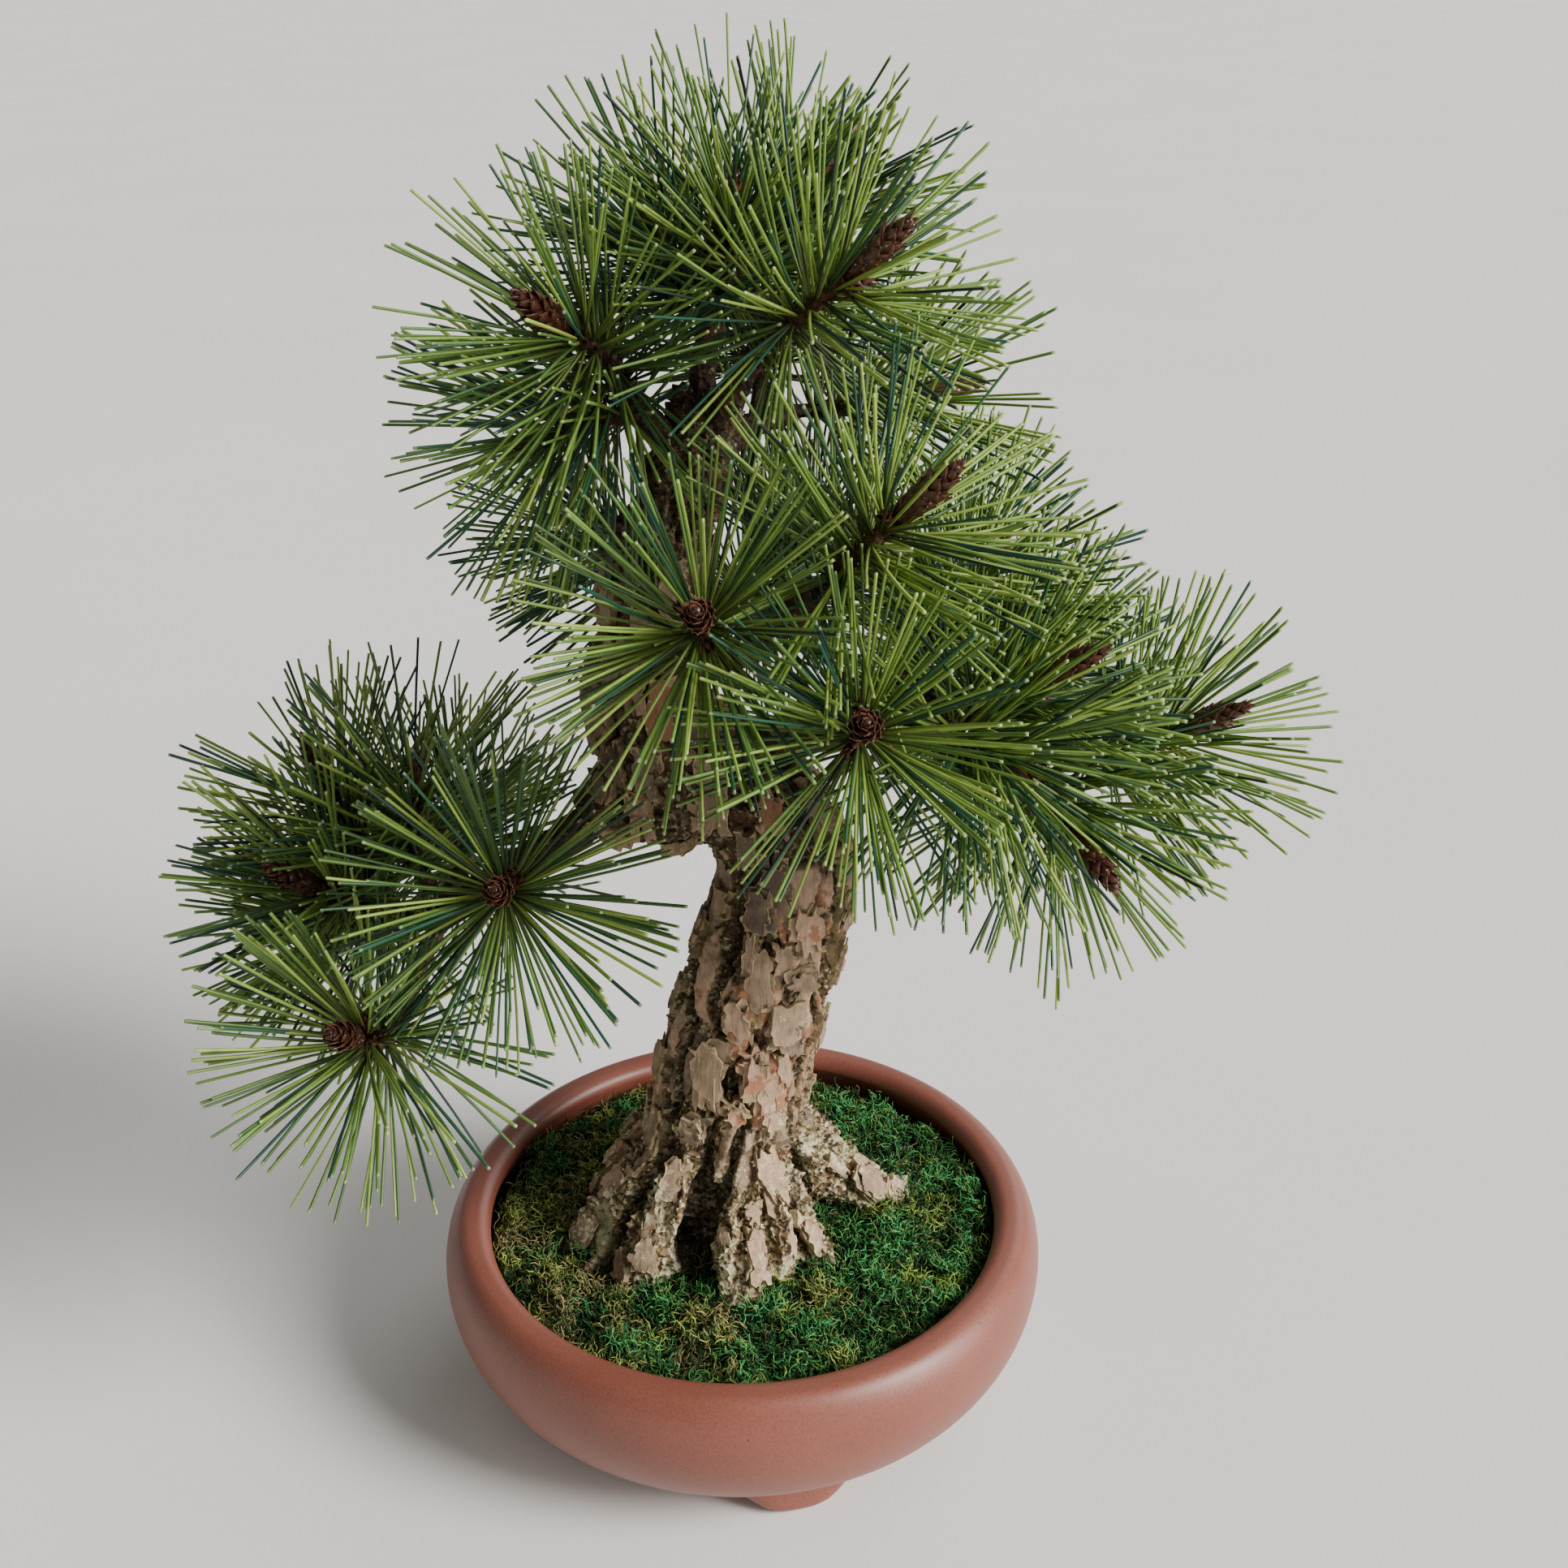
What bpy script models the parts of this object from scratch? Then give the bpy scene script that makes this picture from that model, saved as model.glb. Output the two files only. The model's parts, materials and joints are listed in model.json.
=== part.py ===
"""A bonsai pine in a round clay pot: bowl, soil, moss, trunk with roots, branches, needle tufts and buds.

Metres, +Z up. The origin is on the pot's axis, on the surface that the feet stand on, and -Y is the front.
"""
import math

import bmesh
import bpy
from mathutils import Matrix, Vector
from mathutils.bvhtree import BVHTree

MM = 0.001

# Driving dimensions -----------------------------------------------------------------------------------
POT_RADIUS = 110 * MM          # at the belly
POT_HEIGHT = 70.4 * MM
BELLY_HEIGHT = 51.8 * MM
CREST_RADIUS = 100.5 * MM      # highest line of the rim
MOUTH_RADIUS = 92.9 * MM
BASE_RADIUS = 64 * MM          # flat underside of the bowl
BASE_HEIGHT = 8 * MM
FLOOR_HEIGHT = 16 * MM         # inside
WALL = 9.5 * MM
DRAIN_RADIUS = 8 * MM
LIP_DROP = 5 * MM              # from the rim's top to its inner edge
SOIL_TOP = 49.8 * MM          # level with the widest line inside the bowl
MOSS_EDGE = 60.5 * MM
MOSS_CROWN = 65 * MM

FOOT_ANGLES = (-76, 44, 164)
FOOT_INNER = 66 * MM
FOOT_OUTER = 88 * MM
FOOT_TOP_WIDTH = 42 * MM
FOOT_SOLE_WIDTH = 21 * MM

NEEDLE_LENGTH = 52 * MM
CORE_HALF = 7 * MM             # half the length of stem that carries one tuft
CORE_RADIUS = 4.3 * MM
NEEDLE_FOOT = 2.8 * MM         # half the width of a needle bundle where it springs
TUFT_SIDES = 10
BUD_LENGTH = 24 * MM
TWIG_RADIUS = 2.3 * MM

SEAT_GAP = 0.3 * MM            # between pieces that touch
CLEARANCE = 0.6 * MM           # between needles and what they pass
TURN_STEPS = 40

# Trunk: centre line and radius, from the root ball up to the tip, in millimetres -----------------------
TRUNK = (
    ((-6, -6, 36), 33), ((-5, -5, 62), 34), ((-4, -3, 82), 31), ((-2, 0, 106), 28.5), ((1, 0, 133), 27),
    ((9, 0, 168), 24.5), ((15, 0, 196), 22), ((15, 0, 216), 21.5), ((5, 0, 234), 21), ((-12, 0, 246), 21.5),
    ((-25, 0, 259), 21), ((-29, 0, 277), 18), ((-28, 0, 298), 16), ((-23, 0, 319), 14), ((-16, 0, 340), 12.5),
    ((-11, 0, 358), 11), ((-10, 0, 371), 8),
)
SHOULDER = (((-16, 0, 247), 15), ((-33, 0, 240), 13.5), ((-44, -2, 234), 10), ((-49, -3, 230), 8))
ROOTS = (
    (((6, 0, 104), 12), ((28, 4, 92), 10.5), ((44, 8, 80), 8.5), ((56, 11, 67), 6.5), ((64, 13, 48), 4.5)),
    (((6, -8, 98), 13), ((18, -24, 82), 10), ((30, -35, 66), 7), ((37, -41, 47), 5)),
    (((-2, -12, 100), 15), ((-2, -36, 83), 12), ((-1, -54, 66), 9), ((0, -63, 46), 6)),
    (((-12, -8, 100), 15), ((-26, -28, 82), 12), ((-37, -41, 66), 9), ((-43, -48, 46), 6)),
    (((-14, -2, 98), 15), ((-35, -9, 80), 11), ((-50, -13, 65), 8), ((-57, -15, 46), 5)),
    (((-10, 8, 98), 14), ((-26, 26, 81), 11), ((-38, 40, 66), 8), ((-44, 48, 46), 5)),
    (((4, 8, 98), 14), ((12, 30, 81), 10.5), ((20, 46, 66), 8), ((25, 55, 46), 5)),
)

# Branches: route from inside the trunk outwards, then the radius at its start and at its end -----------
BRANCHES = {
    "left": (((-38, -1, 238), (-56, -6, 224), (-78, -10, 212), (-98, -8, 197), (-116, 0, 191)), 7, 4),
    "front": (((-26, -8, 292), (-20, -32, 298), (-14, -54, 308)), 5, 3.4),
    "right": (((6, 0, 250), (30, 0, 268), (50, -12, 279), (74, -24, 279), (96, -20, 268), (110, -18, 261)), 7.5, 3.6),
    "right_high": (((-24, -2, 276), (2, -10, 291), (20, -34, 314), (28, -54, 330)), 5.5, 3.4),
    "back": (((-24, 8, 296), (-14, 32, 292), (-6, 48, 286)), 6.5, 4.5),
    "crown_left": (((-14, -4, 352), (-25, -10, 366), (-31, -16, 376)), 4.6, 3.4),
    "crown_right": (((-8, -4, 358), (6, -14, 384), (14, -26, 396)), 4.2, 3.2),
    "crown_back": (((-8, 6, 348), (6, 20, 356), (18, 26, 358)), 4.6, 3.4),
    "apex": (((-10, 2, 364), (-8, 6, 385), (-4, 8, 398)), 4.2, 3.2),
}

# Shoots: branch, route point that it leaves from, middle of its tuft, direction, and whether a bud shows
SHOOTS = {
    "apex": ("apex", 2, (0, 2, 415), (0.05, -0.1, 1.0), False),
    "apex_left": ("apex", 1, (-20, 22, 408), (-0.6, 0.35, 0.75), False),
    "apex_right": ("apex", 2, (18, 32, 416), (0.55, 0.3, 0.78), True),
    "crown_left": ("crown_left", 2, (-40, -29, 392), (-0.46, -0.66, 0.52), True),
    "crown_left_low": ("crown_left", 1, (-48, -18, 364), (-0.85, -0.25, -0.3), False),
    "crown_right": ("crown_right", 2, (26, -40, 407), (0.68, -0.3, 0.66), True),
    "crown_right_low": ("crown_back", 2, (45, 30, 361), (0.95, 0.15, 0.12), True),
    "crown_back": ("crown_back", 1, (6, 58, 377), (0.0, 0.85, 0.5), False),
    "right_high": ("right_high", 3, (40, -72, 349), (0.62, -0.35, 0.7), True),
    "right_mid": ("right", 2, (72, -8, 310), (0.62, 0.1, 0.78), False),
    "right_back": ("right", 2, (66, 42, 298), (0.6, 0.65, 0.4), False),
    "right_low_back": ("right", 3, (98, 38, 262), (0.65, 0.75, -0.05), False),
    "front": ("front", 2, (-7, -80, 326), (0.0, -0.87, 0.48), True),
    "front_right": ("right", 2, (36, -92, 300), (0.02, -0.87, 0.48), True),
    "right_low": ("right", 3, (72, -74, 287), (0.72, -0.62, -0.1), False),
    "right_bud": ("right", 3, (81, -50, 291), (0.8, -0.1, 0.56), True),
    "right_end": ("right", 5, (133, -12, 262), (0.78, -0.35, 0.5), True),
    "right_drop": ("right", 4, (98, -48, 256), (0.45, -0.78, -0.42), True),
    "back": ("back", 2, (24, 52, 304), (0.45, 0.5, 0.74), False),
    "back_left": ("back", 1, (-44, 56, 308), (-0.8, 0.5, 0.2), False),
    "back_low": ("back", 2, (2, 97, 270), (0.1, 0.97, -0.15), False),
    "left_front": ("left", 2, (-68, -68, 237), (0.06, -0.86, 0.5), True),
    "left_low": ("left", 3, (-114, -66, 183), (-0.15, -0.78, 0.6), True),
    "left_up": ("left", 3, (-108, 0, 230), (0.12, 0.1, 1.0), False),
    "left_high": ("left", 4, (-136, 18, 219), (-0.32, -0.1, 0.94), True),
    "left_side": ("left", 4, (-132, -14, 206), (-0.5, -0.6, 0.62), True),
    "left_end": ("left", 4, (-139, 14, 178), (-0.97, 0.15, 0.0), True),
    "left_back": ("left", 3, (-104, 54, 196), (-0.3, 0.94, 0.15), False),
}

# Needle rings on a tuft's core: angle from the shoot's direction, in degrees, from the base up ---------
NEEDLE_ANGLES = (98, 66, 36)

COLORS = {
    "clay": ((0.27, 0.085, 0.055), 0.5),
    "soil": ((0.035, 0.024, 0.016), 0.95),
    "moss": ((0.06, 0.12, 0.025), 0.95),
    "bark": ((0.16, 0.11, 0.08), 0.9),
    "twig": ((0.09, 0.06, 0.04), 0.85),
    "needle": ((0.07, 0.15, 0.03), 0.5),
    "bud": ((0.12, 0.045, 0.03), 0.55),
}


# Scene helpers ----------------------------------------------------------------------------------------
def new_collection(name):
    collection = bpy.data.collections.new(name)
    bpy.context.scene.collection.children.link(collection)
    return collection


def make_material(name):
    color, roughness = COLORS[name]
    material = bpy.data.materials.new(name)
    material.use_nodes = True
    shader = material.node_tree.nodes["Principled BSDF"]
    shader.inputs["Base Color"].default_value = (*color, 1.0)
    shader.inputs["Roughness"].default_value = roughness
    shader.inputs["Metallic"].default_value = 0.0
    material.diffuse_color = (*color, 1.0)
    return material


def add_object(name, bm, collection, material=None):
    """Turn a bmesh into a named object of the given collection."""
    mesh = bpy.data.meshes.new(name)
    bm.to_mesh(mesh)
    bm.free()
    obj = bpy.data.objects.new(name, mesh)
    collection.objects.link(obj)
    if material:
        mesh.materials.append(material)
    return obj


def make_cutter(obj):
    obj.hide_render = True
    obj.display_type = "WIRE"
    return obj


def add_boolean(obj, other, operation):
    modifier = obj.modifiers.new(operation.lower(), "BOOLEAN")
    modifier.operation = operation
    modifier.solver = "EXACT"
    modifier.object = other


def fuse(name, parts, collection, material=None):
    """Union a list of bmeshes into one solid object."""
    result = add_object(name, parts[0], collection, material)
    for part in parts[1:]:
        other = add_object(name + "_add", part, collection)
        add_boolean(result, other, "UNION")
        evaluated = result.evaluated_get(bpy.context.evaluated_depsgraph_get())
        mesh = bpy.data.meshes.new_from_object(evaluated)
        result.modifiers.clear()
        result.data = mesh
        mesh.name = name
        bpy.data.objects.remove(other)
    return result


# Shape helpers ----------------------------------------------------------------------------------------
def loft(sections):
    """A closed solid through rings of equally many points, made by extruding a face from ring to ring."""
    bm = bmesh.new()
    spoke = bm.verts.layers.int.new("spoke")
    sides = len(sections[0])
    bmesh.ops.create_circle(bm, cap_ends=True, segments=sides, radius=POT_RADIUS)
    for index, vert in enumerate(bm.verts):
        vert[spoke] = index
        vert.co = sections[0][index]
    bm.faces.ensure_lookup_table()
    first = bm.faces[0]
    face = first
    for section in sections[1:]:
        grown = bmesh.ops.extrude_face_region(bm, geom=[face])["geom"]
        if face is not first:
            bm.faces.remove(face)
        face = next(item for item in grown if isinstance(item, bmesh.types.BMFace))
        for vert in face.verts:
            vert.co = section[vert[spoke]]
    bmesh.ops.recalc_face_normals(bm, faces=bm.faces)
    return bm


def tube_sections(points, radii, sides):
    """Rings square to a route, carried along it without twisting."""
    tangents = []
    for index in range(len(points)):
        before = points[max(index - 1, 0)]
        after = points[min(index + 1, len(points) - 1)]
        tangents.append((after - before).normalized())
    across = tangents[0].orthogonal().normalized()
    sections = []
    for index, (point, radius) in enumerate(zip(points, radii)):
        if index:
            turn = tangents[index - 1].rotation_difference(tangents[index])
            across = turn @ across
        other = tangents[index].cross(across)
        ring = []
        for step in range(sides):
            angle = 2 * math.pi * step / sides
            ring.append(point + radius * (math.cos(angle) * across + math.sin(angle) * other))
        sections.append(ring)
    return sections


def limb(route, sides, grow=0.0):
    """A tapered round limb through ((x, y, z), radius) pairs given in millimetres."""
    points = [Vector(place) * MM for place, _ in route]
    radii = [radius * MM + grow for _, radius in route]
    if grow:
        points[0] -= (points[1] - points[0]).normalized() * grow
        points[-1] += (points[-1] - points[-2]).normalized() * grow
    return loft(tube_sections(points, radii, sides))


def taper(points, start_radius, end_radius):
    """Pair each point with a radius that falls evenly from the first to the last."""
    last = len(points) - 1
    return [(point, start_radius + (end_radius - start_radius) * i / last) for i, point in enumerate(points)]


def ellipse_arc(center, half_width, half_height, start, end, steps):
    """Points on an ellipse in the X-Z plane, with the angles in degrees from +X."""
    points = []
    for step in range(steps + 1):
        angle = math.radians(start + (end - start) * step / steps)
        x = center[0] + half_width * math.cos(angle)
        z = center[1] + half_height * math.sin(angle)
        points.append((x, z))
    return points


def turned(name, profile, closed, collection, material):
    """A profile in the X-Z plane, running down its outer side, turned about Z by a Screw modifier."""
    bm = bmesh.new()
    verts = [bm.verts.new((x, 0.0, z)) for x, z in profile]
    for index in range(len(verts) - 1):
        bm.edges.new((verts[index], verts[index + 1]))
    if closed:
        bm.edges.new((verts[-1], verts[0]))
    obj = add_object(name, bm, collection, material)
    screw = obj.modifiers.new("turn", "SCREW")
    screw.axis = "Z"
    screw.angle = 2 * math.pi
    screw.steps = TURN_STEPS
    screw.render_steps = TURN_STEPS
    screw.use_merge_vertices = True
    screw.merge_threshold = 0.00001
    return obj


# Pot ----------------------------------------------------------------------------------------------------
def inner_wall(gap, steps=7):
    """Profile of the bowl's inside below the lip, from its floor up, drawn in by a gap."""
    center = (BASE_RADIUS - 4 * MM, SOIL_TOP)
    half_width = POT_RADIUS - WALL - center[0] - gap
    half_height = center[1] - FLOOR_HEIGHT - gap
    return ellipse_arc(center, half_width, half_height, -90, 0, steps)


def make_foot(angle):
    """One foot: a block that flares up into the bowl, wide at the top and narrow at its sole."""
    heights = (0.0, 3 * MM, 8 * MM, 14 * MM)
    widths = (FOOT_SOLE_WIDTH, FOOT_SOLE_WIDTH * 1.04, FOOT_SOLE_WIDTH * 1.3, FOOT_TOP_WIDTH)
    sections = []
    for height, width in zip(heights, widths):
        top = height == heights[-1]
        inner = Vector((FOOT_INNER, 0, height - (1.5 * MM if top else 0)))
        outer = Vector((FOOT_OUTER, 0, height + (4.5 * MM if top else 0)))
        half = Vector((0, width / 2, 0))
        cut = Vector((0, 4 * MM, 0))
        inset = Vector((-3 * MM, 0, 0))
        sections.append([
            inner - half, outer - half + inset, outer - half + cut,
            outer + half - cut, outer + half + inset, inner + half,
        ])
    bm = loft(sections)
    bm.transform(Matrix.Rotation(math.radians(angle), 4, "Z"))
    return bm


def make_pot(parts, cutters, material):
    lip_center = (MOUTH_RADIUS + LIP_DROP, POT_HEIGHT - LIP_DROP)
    shoulder = ellipse_arc(
        (CREST_RADIUS, BELLY_HEIGHT), POT_RADIUS - CREST_RADIUS, POT_HEIGHT - BELLY_HEIGHT, 90, 0, 6)
    belly = ellipse_arc(
        (BASE_RADIUS, BELLY_HEIGHT), POT_RADIUS - BASE_RADIUS, BELLY_HEIGHT - BASE_HEIGHT, 0, -90, 9)
    drain = [(DRAIN_RADIUS, BASE_HEIGHT), (DRAIN_RADIUS, FLOOR_HEIGHT)]
    lip = ellipse_arc(lip_center, LIP_DROP, LIP_DROP, 180, 90, 4)
    profile = shoulder + belly[1:] + drain + inner_wall(0.0) + lip
    pot = turned("pot", profile, True, parts, material)
    for angle in FOOT_ANGLES:
        foot = make_cutter(add_object("foot_shape", make_foot(angle), cutters))
        add_boolean(pot, foot, "UNION")
    return pot


# Soil and moss ------------------------------------------------------------------------------------------
def make_soil(parts, trunk_room, material):
    wall = inner_wall(SEAT_GAP)
    profile = [(0.0, SOIL_TOP)] + wall[::-1] + [(0.0, wall[0][1])]
    soil = turned("soil", profile, False, parts, material)
    add_boolean(soil, trunk_room, "DIFFERENCE")
    return soil


def moss_height(x, y, share):
    """Gently lumpy top of the moss: share runs from 0 at the trunk to 1 at the pot wall."""
    lumps = math.sin(x * 95 + 1.0) * math.cos(y * 80 + 0.4) + 0.5 * math.sin(x * 190 + y * 150)
    return MOSS_CROWN + (MOSS_EDGE - MOSS_CROWN) * share ** 3 + 1.2 * MM * lumps * (1 - share ** 4)


def make_moss(parts, trunk_room, material):
    sides = 36
    edge = MOUTH_RADIUS - 0.7 * MM
    bottom = SOIL_TOP + SEAT_GAP
    sections = []
    for radius, share in ((edge, None), (edge, 1.0), (80 * MM, 0.8), (66 * MM, 0.6), (50 * MM, 0.4), (30 * MM, 0.2)):
        ring = []
        for step in range(sides):
            angle = 2 * math.pi * step / sides
            x = radius * math.cos(angle)
            y = radius * math.sin(angle)
            z = bottom if share is None else moss_height(x, y, share)
            ring.append(Vector((x, y, z)))
        sections.append(ring)
    moss = add_object("moss", loft(sections), parts, material)
    add_boolean(moss, trunk_room, "DIFFERENCE")
    return moss


# Wood -----------------------------------------------------------------------------------------------------
def trunk_limbs(grow):
    limbs = [limb(TRUNK, 12, grow), limb(SHOULDER, 8, grow)]
    limbs += [limb(root, 8, grow) for root in ROOTS]
    return limbs


def shoot_frame(name):
    """Middle of a shoot's tuft and its unit direction."""
    _, _, place, direction, _ = SHOOTS[name]
    return Vector(place) * MM, Vector(direction).normalized()


def twig_limb(name, route, radius):
    """A curved twig from its branch to the foot of its tuft."""
    _, fork, _, _, _ = SHOOTS[name]
    heart, direction = shoot_frame(name)
    end = heart - direction * (CORE_HALF + SEAT_GAP)
    onward = (Vector(route[fork]) - Vector(route[fork - 1])).normalized()
    start = Vector(route[fork]) * MM - onward * TWIG_RADIUS
    reach = (end - start).length
    leave = start + onward * 0.25 * reach
    arrive = end - direction * 0.4 * reach
    steps = 5 if reach > 35 * MM else 4
    collar = end - direction * TWIG_RADIUS
    points = []
    for step in range(steps + 1):
        t = step / steps
        point = start * (1 - t) ** 3 + leave * 3 * t * (1 - t) ** 2
        point += arrive * 3 * t * t * (1 - t) + collar * t ** 3
        points.append(point / MM)
    points.append(end / MM)
    return limb(taper(points, radius, TWIG_RADIUS / MM), 6)


def make_branch(name, parts, trunk_room, material):
    route, start_radius, end_radius = BRANCHES[name]
    widths = taper(route, start_radius, end_radius)
    limbs = [limb(widths, 8)]
    for shoot, (branch, fork, _, _, _) in SHOOTS.items():
        if branch == name:
            limbs.append(twig_limb(shoot, route, widths[fork][1] * 0.8))
    branch = fuse("branch_" + name, limbs, parts, material)
    add_boolean(branch, trunk_room, "DIFFERENCE")
    return branch


# Buds and needles ------------------------------------------------------------------------------------------
def make_bud(name, parts, material):
    """A pointed bud that sits on the end of its shoot."""
    heart, direction = shoot_frame(name)
    foot = heart + direction * (CORE_HALF + SEAT_GAP)
    shape = ((0.0, 2.2), (0.2, 4.2), (0.45, 4.8), (0.72, 3.6), (1.0, 1.2))
    points = [foot + direction * BUD_LENGTH * share for share, _ in shape]
    radii = [radius * MM for _, radius in shape]
    return add_object("bud_" + name, loft(tube_sections(points, radii, 8)), parts, material)


def core_samples(name):
    heart, direction = shoot_frame(name)
    return [heart + direction * CORE_HALF * step / 4 for step in range(-4, 5)]


def dividing_planes(name):
    """A plane midway to each neighbouring tuft, as a point and a normal that points away from this one."""
    planes = []
    for other in SHOOTS:
        if other == name:
            continue
        pairs = [(b - a, a) for a in core_samples(name) for b in core_samples(other)]
        apart, near = min(pairs, key=lambda pair: pair[0].length)
        planes.append((near + apart / 2, apart.normalized()))
    return planes


def free_length(base, direction, planes, obstacles):
    """How far a needle can reach before it meets a neighbour's share of space, wood or a bud."""
    length = NEEDLE_LENGTH
    for point, normal in planes:
        closing = direction.dot(normal)
        if closing > 0:
            length = min(length, ((point - base).dot(normal) - CLEARANCE) / closing)
    step = 2 * MM
    reach = 5 * MM
    while reach < length:
        half_width = NEEDLE_FOOT * (1 - reach / NEEDLE_LENGTH)
        distance = obstacles.find_nearest(base + direction * reach)[3]
        if distance < half_width + CLEARANCE:
            return reach - step
        reach += step
    return length


def make_tuft(name, parts, obstacles, material):
    """The leafy end of a shoot: a short core with a needle drawn out of each of its faces."""
    heart, direction = shoot_frame(name)
    rings = len(NEEDLE_ANGLES)
    points = [heart + direction * CORE_HALF * (2 * i / rings - 1) for i in range(rings + 1)]
    bm = loft(tube_sections(points, [CORE_RADIUS] * (rings + 1), TUFT_SIDES))
    planes = dividing_planes(name)
    sides = [face for face in bm.faces if len(face.verts) == 4]
    for face in sides:
        center = face.calc_center_median()
        outward = face.normal.copy()
        along = (center - heart).dot(direction) / CORE_HALF
        ring = round((along + 1) * rings / 2 - 0.5)
        angle = math.radians(NEEDLE_ANGLES[ring])
        reach = direction * math.cos(angle) + outward * math.sin(angle)
        length = free_length(center, reach, planes, obstacles)
        tip = bmesh.ops.poke(bm, faces=[face])["verts"][0]
        tip.co = center + reach * length
    return add_object("needles_" + name, bm, parts, material)


def obstacle_tree(objects):
    """One search tree over the finished surfaces of the given objects."""
    depsgraph = bpy.context.evaluated_depsgraph_get()
    bm = bmesh.new()
    for obj in objects:
        bm.from_object(obj, depsgraph)
    tree = BVHTree.FromBMesh(bm)
    bm.free()
    return tree


def main():
    for obj in list(bpy.data.objects):
        bpy.data.objects.remove(obj)
    parts = new_collection("bonsai_in_pot")
    cutters = new_collection("cutters")
    materials = {name: make_material(name) for name in COLORS}

    trunk = fuse("trunk", trunk_limbs(0.0), parts, materials["bark"])
    trunk_room = make_cutter(fuse("trunk_room", trunk_limbs(SEAT_GAP * 1.1), cutters))
    pot = make_pot(parts, cutters, materials["clay"])
    soil = make_soil(parts, trunk_room, materials["soil"])
    moss = make_moss(parts, trunk_room, materials["moss"])
    branches = [make_branch(name, parts, trunk_room, materials["twig"]) for name in BRANCHES]
    buds = [make_bud(name, parts, materials["bud"]) for name in SHOOTS if SHOOTS[name][4]]
    bpy.context.view_layer.update()

    obstacles = obstacle_tree([trunk, pot, soil, moss] + branches + buds)
    for name in SHOOTS:
        make_tuft(name, parts, obstacles, materials["needle"])
    for obj in (pot, soil):
        obj.data.shade_smooth()


main()
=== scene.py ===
"""Looks of a bonsai pine in a round clay pot, laid out as an add-on and run as a script."""
import functools
import json
import math
import random

import bmesh
import bpy
from mathutils import Euler, Matrix, Vector, noise
from mathutils.bvhtree import BVHTree

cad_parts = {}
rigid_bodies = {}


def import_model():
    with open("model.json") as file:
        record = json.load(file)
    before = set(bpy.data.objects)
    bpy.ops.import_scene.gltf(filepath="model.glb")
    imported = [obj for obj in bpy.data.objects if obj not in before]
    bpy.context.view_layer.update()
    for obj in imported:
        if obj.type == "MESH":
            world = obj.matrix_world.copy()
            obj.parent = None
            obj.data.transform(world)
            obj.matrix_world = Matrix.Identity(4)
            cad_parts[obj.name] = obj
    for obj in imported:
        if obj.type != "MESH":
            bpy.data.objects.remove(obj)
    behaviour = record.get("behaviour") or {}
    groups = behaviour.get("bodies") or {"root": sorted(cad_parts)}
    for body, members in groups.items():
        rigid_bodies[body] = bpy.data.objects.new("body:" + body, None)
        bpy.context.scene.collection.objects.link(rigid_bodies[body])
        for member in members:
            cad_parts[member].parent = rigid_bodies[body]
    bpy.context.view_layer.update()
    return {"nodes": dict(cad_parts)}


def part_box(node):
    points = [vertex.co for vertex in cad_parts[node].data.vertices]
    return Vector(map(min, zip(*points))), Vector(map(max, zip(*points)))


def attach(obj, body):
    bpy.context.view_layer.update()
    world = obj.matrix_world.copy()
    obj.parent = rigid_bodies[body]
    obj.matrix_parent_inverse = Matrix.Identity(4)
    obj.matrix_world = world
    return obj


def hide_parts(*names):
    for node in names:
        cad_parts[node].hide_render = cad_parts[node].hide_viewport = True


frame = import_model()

bl_info = {
    "name": "Bonsai pine",
    "version": (1, 0, 0),
    "blender": (4, 5, 0),
    "location": "View3D > Sidebar > Bonsai",
    "description": "Models the pot, moss, bark, needles and buds of a potted bonsai pine",
    "category": "Add Mesh",
}

MM = 0.001
NOISE_SEED = 5                 # vector noise follows the clock unless it is given a seed

# ---- Layout ----
# Routes that follow the CAD model's wood, in millimetres: ((x, y, z), radius)
TRUNK = (
    ((-12, -4, 36), 31), ((-11, -4, 62), 32), ((-9, -3, 82), 29.5), ((-6, 0, 106), 26.5),
    ((-1, 0, 133), 25.5), ((7, 0, 168), 24), ((14, 0, 196), 22), ((15, 0, 216), 21.5), ((5, 0, 234), 21),
    ((-12, 0, 246), 21.5), ((-25, 0, 259), 21), ((-29, 0, 277), 18), ((-28, 0, 298), 16),
    ((-23, 0, 319), 14), ((-16, 0, 340), 12.5), ((-11, 0, 358), 11), ((-10, 0, 371), 8),
)
SHOULDER = (((-16, 0, 247), 15), ((-33, 0, 240), 13.5), ((-44, -2, 234), 10), ((-49, -3, 230), 8))
ROOTS = (
    (((4, 0, 98), 14), ((24, 4, 82), 12), ((40, 8, 71), 10), ((51, 12, 63), 8), ((60, 16, 53), 5)),
    (((4, -8, 96), 12), ((15, -20, 80), 8), ((24, -25, 68), 5.5), ((34, -30, 54), 3.5)),
    (((-2, -12, 102), 15), ((-1, -32, 82), 11), ((0, -44, 66), 7.5), ((1, -52, 46), 5)),
    (((-12, -8, 102), 16), ((-25, -24, 82), 13.5), ((-34, -34, 66), 10.5), ((-40, -41, 46), 7)),
    (((-14, -2, 100), 17), ((-36, -9, 80), 13), ((-52, -14, 65), 9), ((-60, -18, 46), 6)),
    (((-10, 8, 98), 15), ((-26, 26, 81), 12.5), ((-38, 40, 66), 9), ((-45, 49, 46), 6)),
    (((4, 8, 98), 15), ((12, 30, 81), 12), ((20, 46, 66), 9), ((25, 56, 46), 6)),
)
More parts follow.
